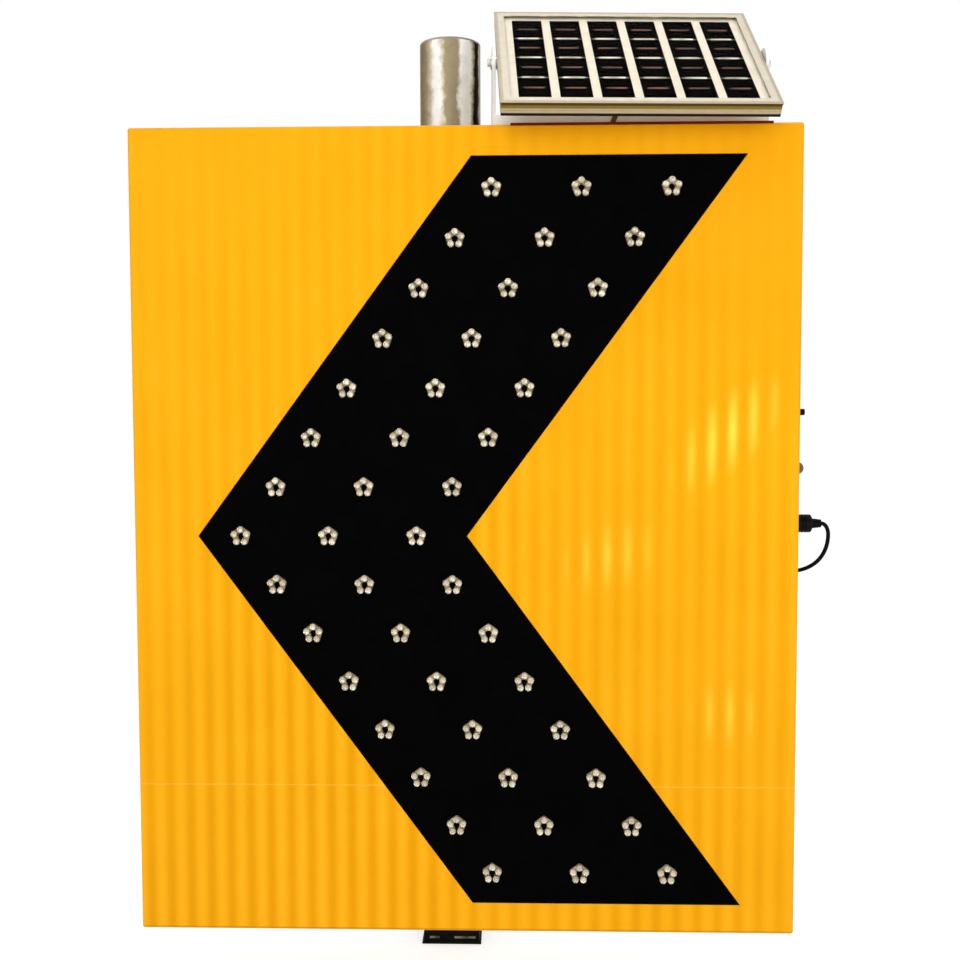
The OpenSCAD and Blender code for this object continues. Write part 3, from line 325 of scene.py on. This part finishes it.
def turn_form(form, outline, centre, axis, steps):
    """Turns an outline of (way along the axis, radius) round the axis, in millimetres."""
    out = axis.orthogonal()
    ring = [form.verts.new((centre + axis * along + out * radius) * mm) for along, radius in outline]
    edges = [form.edges.new(pair) for pair in zip(ring, ring[1:])]
    bmesh.ops.spin(form, geom=ring + edges, cent=centre * mm, axis=axis, angle=2 * math.pi, steps=steps,
                   use_merge=True)
    bmesh.ops.remove_doubles(form, verts=form.verts, dist=0.001 * mm)
    bmesh.ops.recalc_face_normals(form, faces=form.faces)


def smooth(piece, sharp):
    """Shades a piece smooth, but for edges over an angle in degrees."""
    piece.data.shade_smooth()
    piece.data.set_sharp_from_angle(angle=math.radians(sharp))


middle_x, middle_z = 17.5, 426
cover_back, screw_low, screw_high = -59.2, 65.9, 786.1
screw_places = [(middle_x + side * 293.6, z) for side in (-1, 1)
                for z in (screw_low, 245.95, middle_z, 606.05, screw_high)]
screw_places += [(x, z) for x in (-80.37, 115.37) for z in (screw_low, screw_high)]
screw_form = bmesh.new()
for x, z in screw_places:
    turn_form(screw_form, screw_outline, Vector((x, cover_back, z)), Vector((0, 1, 0)), 12)
screws = add_piece("cover_screws_turned", screw_form, plated, "sign")
smooth(screws, 35)
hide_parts("cover_screws")

# Seal: a strip of black EPDM foam cut from a roll and squeezed under the rear cover.
# It is a dead matt, pitted black.
foam = finish("EPDM foam", "#121212", "#232323", (0.75, 0.95), 0.6, 0.12)
dress(foam, "cover_seal")

# Face film: amber retroreflective sheeting, rolled onto the box's front and wrapped round its sides.
# The sheet under it was formed with shallow upright ribs every 19 mm, and the film follows them.
rib_pitch = 18.9
rib_depth = 0.16
first_groove = -277.2
film_front = -118.6
face_left, face_right, face_low, face_high = -287.5, side_x, 54.5, 797.5
fold = 2.5
rib_fade = 3.0
rib_cuts = 4

# A deep, even amber with a fine glitter, banded by painted shade in the ribs' grooves and painted light on their
# crests, with painted highlights in places.
amber, tree, film = blank("amber retroreflective sheeting", {"Specular Tint": colour("#FFD21A")})
place = add(tree, "ShaderNodeTexCoord").outputs["Object"]
axes = add(tree, "ShaderNodeSeparateXYZ", {"Vector": place})
# The wave texture repeats every pi tenths of its own units.
rib_scale = 0.1 * math.pi / (rib_pitch * mm)
rib_place = add(tree, "ShaderNodeMapping", {"Vector": place, "Scale": (rib_scale, rib_scale, rib_scale),
                                            "Location": (-first_groove * mm * rib_scale, 0, 0)})
ribs = add(tree, "ShaderNodeTexWave", {"Vector": rib_place.outputs["Vector"], "Scale": 1.0},
           wave_type="BANDS", bands_direction="X", wave_profile="SIN")
# Painted shade in the grooves and painted light on the crests come in upright stretches of a hand's width,
# strongest near the foot.
patch_place = add(tree, "ShaderNodeMapping", {"Vector": place, "Location": (3.1, 0, 1.7),
                                              "Scale": (1, 1, 0.35)})
patches = add(tree, "ShaderNodeTexNoise", {"Vector": patch_place.outputs["Vector"], "Scale": 1 / (150 * mm),
                                           "Detail": 2.0})
low_down = add(tree, "ShaderNodeMapRange", {"Value": axes.outputs["Z"], "From Min": 620 * mm,
                                            "From Max": 160 * mm, "To Min": 0.04, "To Max": 0.23})
groove_shade = add(tree, "ShaderNodeMapRange", {"Value": patches.outputs["Fac"], "From Min": 0.35, "From Max": 0.65,
                                         "To Min": 0.0, "To Max": 0.2})
rib_shade_depth = add(tree, "ShaderNodeMath", {0: low_down.outputs["Result"], 1: groove_shade.outputs["Result"]},
            operation="ADD")
band = add(tree, "ShaderNodeMath", {0: ribs.outputs["Fac"], 1: -0.5}, operation="ADD")
banded = add(tree, "ShaderNodeMath", {0: band.outputs[0], 1: rib_shade_depth.outputs[0]}, operation="MULTIPLY")
cloud = add(tree, "ShaderNodeTexNoise", {"Vector": place, "Scale": 1 / (90 * mm), "Detail": 5.0})
clouded = add(tree, "ShaderNodeMapRange", {"Value": cloud.outputs["Fac"], "From Min": 0.3, "From Max": 0.7,
                                           "To Min": 0.44, "To Max": 0.56})
level = add(tree, "ShaderNodeMath", {0: banded.outputs[0], 1: clouded.outputs["Result"]}, operation="ADD")
# The prism cells under the film's skin, drawn at 2 mm so that they show.
prisms = add(tree, "ShaderNodeTexVoronoi", {"Vector": place, "Scale": 1 / (2 * mm)})
glitter = add(tree, "ShaderNodeMapRange", {"Value": prisms.outputs["Distance"], "From Max": 0.7, "To Min": 0.03,
                                           "To Max": -0.03})
level = add(tree, "ShaderNodeMath", {0: level.outputs[0], 1: glitter.outputs["Result"]}, operation="ADD")
tones = add(tree, "ShaderNodeValToRGB", {"Fac": level.outputs[0]})
fill(tones.color_ramp, [(0.0, "#D58F00"), (0.5, "#F9AA14"), (1.0, "#FFC22C")])
# Painted highlights: the ribs' crests are painted bright as glints in three patches right of the chevron.
tone = tones.outputs["Color"]
glint_crest = add(tree, "ShaderNodeMath", {0: ribs.outputs["Fac"], 1: 2.0}, operation="POWER")
for patch_at, slant, patch_size, clear in [((257, film_front, 519), -45, (72, 90, 32), 0.85),
                                           ((151, film_front, 407), -20, (52, 90, 34), 0.45),
                                           ((257, film_front, 262), 0, (38, 90, 34), 0.45)]:
    patch = add(tree, "ShaderNodeMapping", {"Vector": place, "Location": Vector(patch_at) * mm,
                                            "Rotation": (0, math.radians(slant), 0),
                                            "Scale": Vector(patch_size) * mm}, vector_type="TEXTURE")
    in_glint = add(tree, "ShaderNodeTexGradient", {"Vector": patch.outputs["Vector"]}, gradient_type="SPHERICAL")
    painted_patch = add(tree, "ShaderNodeMath", {0: in_glint.outputs["Fac"], 1: glint_crest.outputs[0]}, operation="MULTIPLY")
    painted_patch = add(tree, "ShaderNodeMath", {0: painted_patch.outputs[0], 1: clear}, operation="MULTIPLY")
    tone = add(tree, "ShaderNodeMix", {"Factor": painted_patch.outputs[0], 6: tone, 7: colour("#FFEE52")},
               data_type="RGBA").outputs[2]
# Two sheets of film meet on a level seam near the foot, a hair lighter than the rest.
seam = add(tree, "ShaderNodeMath", {0: axes.outputs["Z"], 1: 193 * mm, 2: 0.6 * mm}, operation="COMPARE")
seam_tint = add(tree, "ShaderNodeMath", {0: seam.outputs[0], 1: 0.3}, operation="MULTIPLY")
joined = add(tree, "ShaderNodeMix", {"Factor": seam_tint.outputs[0], 6: tone, 7: colour("#FFCE5A")},
             data_type="RGBA")
# The lower fold is painted darker: painted shade where the film turns under.
fold_shade = add(tree, "ShaderNodeMapRange", {"Value": axes.outputs["Z"], "From Min": (face_low + fold) * mm,
                                          "From Max": (face_low + 1.2 * fold) * mm, "To Min": 0.5,
                                          "To Max": 0.0})
sheeting = add(tree, "ShaderNodeMix", {"Factor": fold_shade.outputs["Result"], 6: joined.outputs[2],
                                       7: colour("#B97400")}, data_type="RGBA")
sparkle = add(tree, "ShaderNodeMapRange", {"Value": prisms.outputs["Distance"], "From Max": 0.7, "To Min": 0.24,
                                           "To Max": 0.36})
prism_bump = add(tree, "ShaderNodeBump", {"Height": prisms.outputs["Distance"], "Distance": 0.015 * mm})
tree.links.new(sheeting.outputs[2], film.inputs["Base Color"])
tree.links.new(sparkle.outputs["Result"], film.inputs["Roughness"])
tree.links.new(prism_bump.outputs["Normal"], film.inputs["Normal"])

# The ribs are pressed into a copy of the film, which is cut along them first.
face = bmesh.new()
face.from_mesh(nodes["face_film"].data)
bmesh.ops.remove_doubles(face, verts=face.verts, dist=0.001 * mm)
front = [f for f in face.faces if all(abs(v.co.y - film_front * mm) < 0.005 * mm for v in f.verts)]
front = list({part for f in front for part in (f, *f.edges, *f.verts)})
cuts = [((0, 0, cut_z * mm), (0, 0, 1)) for cut_z in (face_low + fold + rib_fade, face_high - fold - rib_fade)]
rib_count = int((face_right - face_left) / rib_pitch)
for i in range(-rib_cuts // 2, rib_cuts * rib_count + rib_cuts // 2):
    cut_x = first_groove + i * rib_pitch / rib_cuts
    if face_left + fold + rib_fade < cut_x < face_right - fold - rib_fade:
        cuts.append(((cut_x * mm, 0, 0), (1, 0, 0)))
for cut_at, cut_across in cuts:
    front = bmesh.ops.bisect_plane(face, geom=front, dist=0.0001 * mm, plane_co=cut_at,
                                   plane_no=cut_across)["geom"]
plain_rim = fold + 1
for v in {part for part in front if isinstance(part, bmesh.types.BMVert)}:
    x, z = v.co.x / mm, v.co.z / mm
    if face_left + plain_rim < x < face_right - plain_rim and face_low + plain_rim < z < face_high - plain_rim:
        v.co.y += rib_depth * mm * (1 + math.cos(2 * math.pi * (x - first_groove) / rib_pitch)) / 2
face_film = add_piece("face_film_ribbed", face, amber, "sign")
smooth(face_film, 25)
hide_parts("face_film")

# Chevron: matt black vinyl film, plotted to shape and rubbed down over the amber.
# It is as black as the picture goes, with next to no sheen.
vinyl = finish("matt black vinyl film", "#010101", "#030303", (0.5, 0.62), 1.5, 0.02,
               {"Specular IOR Level": 0.01})
dress(vinyl, "chevron_film")

# Lamps: clear epoxy bulbs pushed through the face from behind, five to a round board, three boards to a row.
# Each bulb has a silvered cup on two posts cast into it, and a bead of silicone, gone olive with age,
# is run round each lamp's bulbs from the front and stops short at the bottom.
# The resin is glassy and warm, the cups make it light up, and the bead is a muddy ring between the bulbs.
epoxy = blank("clear cast epoxy", {"Base Color": colour("#F1EADA"), "Roughness": 0.08, "IOR": 1.54,
                                   "Transmission Weight": 0.8})[0]
dress(epoxy, "lamp_bulbs")
silvered = finish("silver-plated lead frame", "#A39A86", "#DDD6C8", (0.2, 0.35), 0.5, 0.02, {"Metallic": 0.7})
sealant = finish("aged clear silicone", "#6B5A32", "#B3A27A", (0.25, 0.4), 1.2, 0.05)
bead_section = [(2.7, 0), (3.3, 1), (6.1, 1.5), (8.3, 1), (9, 0)]
bead_steps = 16
bulb_pitch = 7.2
lamp_ring = bulb_pitch / (2 * math.sin(math.pi / 5))
row_pitch, column_pitch, first_lamp = 45, 81, -188.5
chevron_front, cup_y, cup_post_y = -118.8, -120.4, -117.5
# How far the chevron's arms run back for each step up or down.
arm_slope = 252.5 / 344
facing = Matrix.Rotation(math.radians(90), 4, "X")
cups = bmesh.new()
bedding = bmesh.new()
for row in range(-7, 8):
    for column in range(3):
        lamp_x = first_lamp + abs(row) * row_pitch * arm_slope + column * column_pitch
        lamp_z = middle_z + row * row_pitch
        rings = []
        for step in range(bead_steps + 1):
            turn = math.radians(296 * step / bead_steps - 148)
            lobe = 0.94 + 0.06 * math.cos(5 * turn)
            rings.append([bedding.verts.new(Vector((lamp_x + out * lobe * math.sin(turn), chevron_front - up,
                                                    lamp_z + out * lobe * math.cos(turn))) * mm)
                          for out, up in bead_section])
        for near, far in zip(rings, rings[1:]):
            for i in range(len(bead_section)):
                bedding.faces.new((near[i - 1], near[i], far[i], far[i - 1]))
        bedding.faces.new(rings[0])
        bedding.faces.new(rings[-1])
        for bulb in range(5):
            turn = math.radians(72 * bulb)
            spot = Vector((lamp_x + lamp_ring * math.sin(turn), 0, lamp_z + lamp_ring * math.cos(turn)))
            cup_at = Matrix.Translation((spot + Vector((0, cup_y, 0))) * mm) @ facing
            bmesh.ops.create_cone(cups, cap_ends=True, segments=8, radius1=1.1 * mm, radius2=2.0 * mm,
                                  depth=1.4 * mm, matrix=cup_at)
            for side in (-1, 1):
                post_at = Matrix.Translation((spot + Vector((side * 1.1, cup_post_y, 0))) * mm) @ facing
                bmesh.ops.create_cone(cups, cap_ends=True, segments=4, radius1=0.4 * mm, radius2=0.4 * mm,
                                      depth=4.4 * mm, matrix=post_at)
add_piece("lamp_cups", cups, silvered, "sign")
bmesh.ops.recalc_face_normals(bedding, faces=bedding.faces)
add_piece("lamp_bedding", bedding, sealant, "sign").data.shade_smooth()

# Lamp boards and wiring, inside the box: printed boards under a glossy green lacquer, and red PVC wire
# with a soft shine, laid in a bundle and soldered to them.
lacquer = finish("green solder mask", "#0F3A1C", "#1B5229", (0.25, 0.4), 0.8, 0.03)
wire = finish("red PVC wire", "#6E0F0C", "#8E1713", (0.35, 0.5), 0.8, 0.03)
dress(lacquer, "lamp_boards", "controller_board")
dress(wire, "lamp_wiring", "fitting_wires")

# Battery and spacers, inside the box: cells shrink-wrapped in glossy blue film and held by a strap, and
# milky white nylon spacers turned from rod, screwed under the board.
wrap = finish("blue shrink wrap", "#12306B", "#1B4390", (0.2, 0.35), 1.5, 0.05)
nylon = finish("white nylon", "#D8D6CE", "#E6E4DD", (0.4, 0.55), 0.8, 0.02)
dress(wrap, "battery_pack")
dress(nylon, "board_spacers")

# Side fittings: a push button in a turned brass bush, a light sensor under a smoked dome, and a moulded panel
# socket, each held by a nut inside. The brass is brown and dull, the dome a glossy amber grey, the rest black.
brass = finish("dulled brass", "#5B4526", "#7A6038", (0.35, 0.5), 0.6, 0.02, {"Metallic": 1.0})
abs_black = finish("moulded black ABS", "#040404", "#0B0B0B", (0.35, 0.5), 0.7, 0.03,
                   {"Specular IOR Level": 0.06})
smoked = finish("smoked resin", "#6B5428", "#8A7344", (0.1, 0.16), 1.0, 0.01, {"Transmission Weight": 0.4})
dress(brass, "button_bush")
dress(abs_black, "button_plunger", "button_switch", "sensor_base", "lead_socket", "lead_clips", "yoke_clip")
dress(smoked, "sensor_dome")
soften(0.9, "button_plunger")
soften(0.4, "button_bush", "sensor_base", "lead_clips", "yoke_clip")

# Plug: moulded black ABS round the end of the lead and pushed into the socket.
# It has two grip grooves and a slim ribbed boot.
plug_outline = [(2.5, 0), (2.5, 5.6), (2.9, 6), (6.4, 6), (6.7, 5.5), (7.5, 5.5), (7.8, 6), (9.4, 6),
                (9.7, 5.5), (10.5, 5.5), (10.8, 6), (15.8, 5.9), (16.6, 5.4), (17, 4.6), (17, 3.4), (18.8, 3.3),
                (19, 2.9), (19.6, 2.9), (19.8, 3.2), (21.2, 3.1), (21.4, 2.7), (22, 2.7), (22.2, 3), (23.6, 2.9),
                (23.8, 2.6), (24.4, 2.6), (24.6, 2.8), (26, 2.6), (26, 0)]
plug_form = bmesh.new()
turn_form(plug_form, plug_outline, Vector((side_x, socket_y, socket_z)), Vector((1, 0, 0)), 28)
plug = add_piece("lead_plug_ribbed", plug_form, abs_black, "sign")
smooth(plug, 35)
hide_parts("lead_plug")

# Shadow strip: a thin red-brown block along the box's top edge under the yoke. It is painted shadow, a
# dark line put where the yoke and panel shade the edge, not a part of the sign.
silicone = finish("red-brown painted shadow", "#5C1402", "#741E06", (0.5, 0.65), 0.8, 0.03,
                  {"Specular IOR Level": 0.1})
shadow_strip = bmesh.new()
add_strip(shadow_strip, Matrix.Identity(4), (177.5, -115.9, face_high), (235, 6.1, 2.4), 0.5)
add_piece("shadow_strip", shadow_strip, silicone, "sign")

# Yoke: a strap of steel plate bent up at both ends and lipped along its front, powder-coated white.
# It turns on one bolt through a sleeve on the box's top, and a bent brass lug on its lip marks the middle.
# The coat is a clean, softly shining white.
coated = finish("white powder coat", "#EFEFEB", "#F8F8F5", (0.34, 0.46), 1.0, 0.05)
dress(coated, "yoke")
soften(0.5, "yoke")
lug_place = yoke_place @ Matrix.Translation((-4, -14.7, -1.6)) @ Matrix.Rotation(math.radians(22), 4, "Y")
lug = bmesh.new()
add_strip(lug, lug_place, (0, 0, 0), (4.6, 1.4, 9.4), 0.4)
add_strip(lug, yoke_place, (-1.2, -12.4, 3.5), (6, 6, 1.2), 0.4)
add_piece("yoke_lug", lug, brass, "yoke")

# Panel frame: mitred bars of anodised aluminium, with a raised bead along the front and the rear bar.
# To the eye it is a warm pale metal. The groove under the lip and the band below the bead are painted shade,
# the lip's top is painted light, and the lip's outer shoulder is darker.
panel_w, panel_l = 243.5, 190.5
bar_low, bar_high = -4.5, 8.5
anodised, tree, bar = blank("anodised aluminium", {"Metallic": 0.85})
place = add(tree, "ShaderNodeTexCoord").outputs["Object"]
inward = add(tree, "ShaderNodeMapping", {"Vector": place, "Location": panel_place.to_translation() * mm,
                                         "Rotation": panel_place.to_euler()}, vector_type="TEXTURE")
axes = add(tree, "ShaderNodeSeparateXYZ", {"Vector": inward.outputs["Vector"]})
out_x = add(tree, "ShaderNodeMath", {0: axes.outputs["X"]}, operation="ABSOLUTE")
out_x = add(tree, "ShaderNodeMath", {0: out_x.outputs[0], 1: panel_w / 2 * mm}, operation="SUBTRACT")
out_y = add(tree, "ShaderNodeMath", {0: axes.outputs["Y"]}, operation="ABSOLUTE")
out_y = add(tree, "ShaderNodeMath", {0: out_y.outputs[0], 1: panel_l / 2 * mm}, operation="SUBTRACT")
rim = add(tree, "ShaderNodeMath", {0: out_x.outputs[0], 1: out_y.outputs[0]}, operation="MAXIMUM")
shoulder = add(tree, "ShaderNodeMapRange", {"Value": rim.outputs[0], "From Min": -4 * mm, "From Max": -2 * mm})
height = add(tree, "ShaderNodeMapRange", {"Value": axes.outputs["Z"], "From Min": bar_low * mm,
                                          "From Max": bar_high * mm})
levels = add(tree, "ShaderNodeValToRGB", {"Fac": height.outputs["Result"]})
# Millimetres above the tilt's axis, with the bar's tone there: painted shade below the bead and in the groove,
# painted light on the lip's top.
bar_tones_and_shade = [(bar_low, "#190A04"), (-1.9, "#1F0F06"), (-1.5, "#A6987B"), (1.9, "#AE9F82"), (2.4, "#7C6A2A"),
             (4.8, "#746124"), (5.3, "#48320C"), (7.6, "#4E3810"), (8.1, "#D8CFBB"), (bar_high, "#E2DAC8")]
fill(levels.color_ramp, [((above - bar_low) / (bar_high - bar_low), code) for above, code in bar_tones_and_shade])
outer = add(tree, "ShaderNodeMapRange", {"Value": rim.outputs[0], "From Min": -2.2 * mm, "From Max": -1.8 * mm})
faced = add(tree, "ShaderNodeMix", {"Factor": outer.outputs["Result"], 6: colour("#D6CDB9"),
                                    7: levels.outputs["Color"]}, data_type="RGBA")
# The top of the lip is darker along its outer shoulder.
on_top = add(tree, "ShaderNodeMath", {0: height.outputs["Result"], 1: 0.97}, operation="GREATER_THAN")
dulled = add(tree, "ShaderNodeMath", {0: shoulder.outputs["Result"], 1: on_top.outputs[0]},
             operation="MULTIPLY")
painted_patch = add(tree, "ShaderNodeMix", {"Factor": dulled.outputs[0], 6: faced.outputs[2], 7: colour("#B4A88E")},
             data_type="RGBA")
dust = add(tree, "ShaderNodeTexNoise", {"Vector": place, "Scale": 1 / (6 * mm), "Detail": 4.0})
smear = add(tree, "ShaderNodeMapRange", {"Value": dust.outputs["Fac"], "From Min": 0.3, "From Max": 0.7,
                                         "To Min": 0.93, "To Max": 1.04})
dusted = add(tree, "ShaderNodeVectorMath", {0: painted_patch.outputs[2], 1: smear.outputs["Result"]},
             operation="MULTIPLY")
polish = add(tree, "ShaderNodeMapRange", {"Value": dust.outputs["Fac"], "To Min": 0.26, "To Max": 0.44})
tree.links.new(dusted.outputs[0], bar.inputs["Base Color"])
tree.links.new(polish.outputs["Result"], bar.inputs["Roughness"])
dress(anodised, "panel_frame")

beads = bmesh.new()
for end in (-1, 1):
    add_strip(beads, panel_place, (0, end * (panel_l / 2 - 0.4), -0.9), (panel_w - 1.2, 0.7, 3), 0.2)
add_piece("frame_beads", beads, anodised, "panel")

# Laminate: a sheet of low-iron glass with a matt coating against glare, black silicon cells in six strings
# and a white backsheet. Tinned ribbon runs across each cell and from one to the next in its string.
# The coating takes the shine from the glass, so it mirrors nothing and its index is set near that of air.
glass = blank("coated low-iron glass", {"Base Color": colour("#FFFFFF"), "Roughness": 0.03, "IOR": 1.03,
                                        "Specular IOR Level": 0.0, "Transmission Weight": 1.0})[0]
silicon = finish("silicon cell", "#010101", "#030202", (0.3, 0.45), 3.0, 0.01, {"Specular IOR Level": 0.0})
backsheet = finish("white backsheet", "#D9CFB8", "#E2D8C3", (0.45, 0.6), 1.0, 0.02)
dress(glass, "panel_glass")
dress(silicon, "panel_cells")
dress(backsheet, "panel_backsheet")
# The cells stand a hair into the glass, because both faces would lie in one plane.
weld = nodes["panel_cells"].modifiers.new("weld", "WELD")
weld.merge_threshold = 0.01 * mm
sunk = nodes["panel_cells"].modifiers.new("sunk", "DISPLACE")
sunk.strength = 0.03 * mm
sunk.mid_level = 0.0
# The ribbons across are browned and dark, the links between cells bright and tarnished in spots.
browned = finish("oxidised tinned copper", "#3A190C", "#84492A", (0.35, 0.5), 1.5, 0.01)
tinned = finish("tinned copper ribbon", "#8A7A60", "#EFE6D6", (0.3, 0.45), 1.2, 0.01)
string_pitch, cell_pitch = 36.3, 41
ribbon_z, ribbon_t = 5.12, 0.1
across = bmesh.new()
links = bmesh.new()
for string in range(6):
    for cell in range(4):
        cell_x, cell_y = (string - 2.5) * string_pitch, (cell - 1.5) * cell_pitch
        add_strip(across, panel_place, (cell_x, cell_y, ribbon_z), (18, 2.4, ribbon_t), 0.03)
        if cell < 3:
            add_strip(links, panel_place, (cell_x, cell_y + cell_pitch / 2, ribbon_z), (20, 3.2, ribbon_t), 0.03)
add_piece("cell_ribbons", across, browned, "panel")
add_piece("cell_links", links, tinned, "panel")

# Junction box: moulded black ABS glued to the backsheet, with a lid pressed on and a gland for the lead.
# It has the same half matt black as the side fittings.
dress(abs_black, "junction_box", "junction_lid", "lead_gland")
soften(0.8, "junction_box", "junction_lid")

# Stage: a pale floor under the foot and white all round. What the camera, metal and glass see of them is
# white, while the object is lit by a plain half-white room and soft lamps from the front and above.
plane = bmesh.new()
bmesh.ops.create_grid(plane, x_segments=1, y_segments=1, size=12.0)
floor_mesh = bpy.data.meshes.new("floor")
plane.to_mesh(floor_mesh)
plane.free()
floor = bpy.data.objects.new("floor", floor_mesh)
bpy.context.scene.collection.objects.link(floor)
pale, tree, ground = blank("pale floor", {"Base Color": colour("#F2F2F0"), "Roughness": 0.95,
                                          "Specular IOR Level": 0.0})
floor_mesh.materials.append(pale)
world = bpy.data.worlds.new("white room")
bpy.context.scene.world = world
world.use_nodes = True
room = world.node_tree.nodes["Background"]
for around_it, shine, strength, unseen, shown_white in [(tree, ground.inputs["Emission Color"],
                                                         ground.inputs["Emission Strength"], 0.0, 0.6),
                                                        (world.node_tree, room.inputs["Color"],
                                                         room.inputs["Strength"], 0.5, 1.0)]:
    ray = add(around_it, "ShaderNodeLightPath").outputs
    seen = add(around_it, "ShaderNodeMath", {0: ray["Is Camera Ray"], 1: ray["Is Glossy Ray"]},
               operation="MAXIMUM")
    seen = add(around_it, "ShaderNodeMath", {0: seen.outputs[0], 1: ray["Is Transmission Ray"]},
               operation="MAXIMUM")
    white = add(around_it, "ShaderNodeMapRange", {"Value": seen.outputs[0], "To Min": unseen,
                                                  "To Max": shown_white})
    shine.default_value = (1, 1, 1, 1)
    around_it.links.new(white.outputs["Result"], strength)
for name, spot, target, size, power in [("key", (-0.7, -2.6, 1.0), (0, -0.1, 0.45), 1.6, 21.5),
                                        ("fill", (1.3, -2.4, 0.7), (0, -0.1, 0.45), 1.2, 9),
                                        ("top", (0.1, -0.5, 3.0), (0.1, -0.1, 0.6), 1.4, 16),
                                        ("glint", (0.46, -1.2, 0.48), (0.26, -0.12, 0.5), 0.14, 0.8)]:
    lamp = bpy.data.lights.new(name, "AREA")
    lamp.size = size
    lamp.energy = power
    lamp_object = bpy.data.objects.new(name, lamp)
    lamp_object.location = spot
    lamp_object.rotation_euler = (Vector(target) - Vector(spot)).to_track_quat("-Z", "Y").to_euler()
    bpy.context.scene.collection.objects.link(lamp_object)
bpy.context.scene.view_settings.view_transform = "Standard"
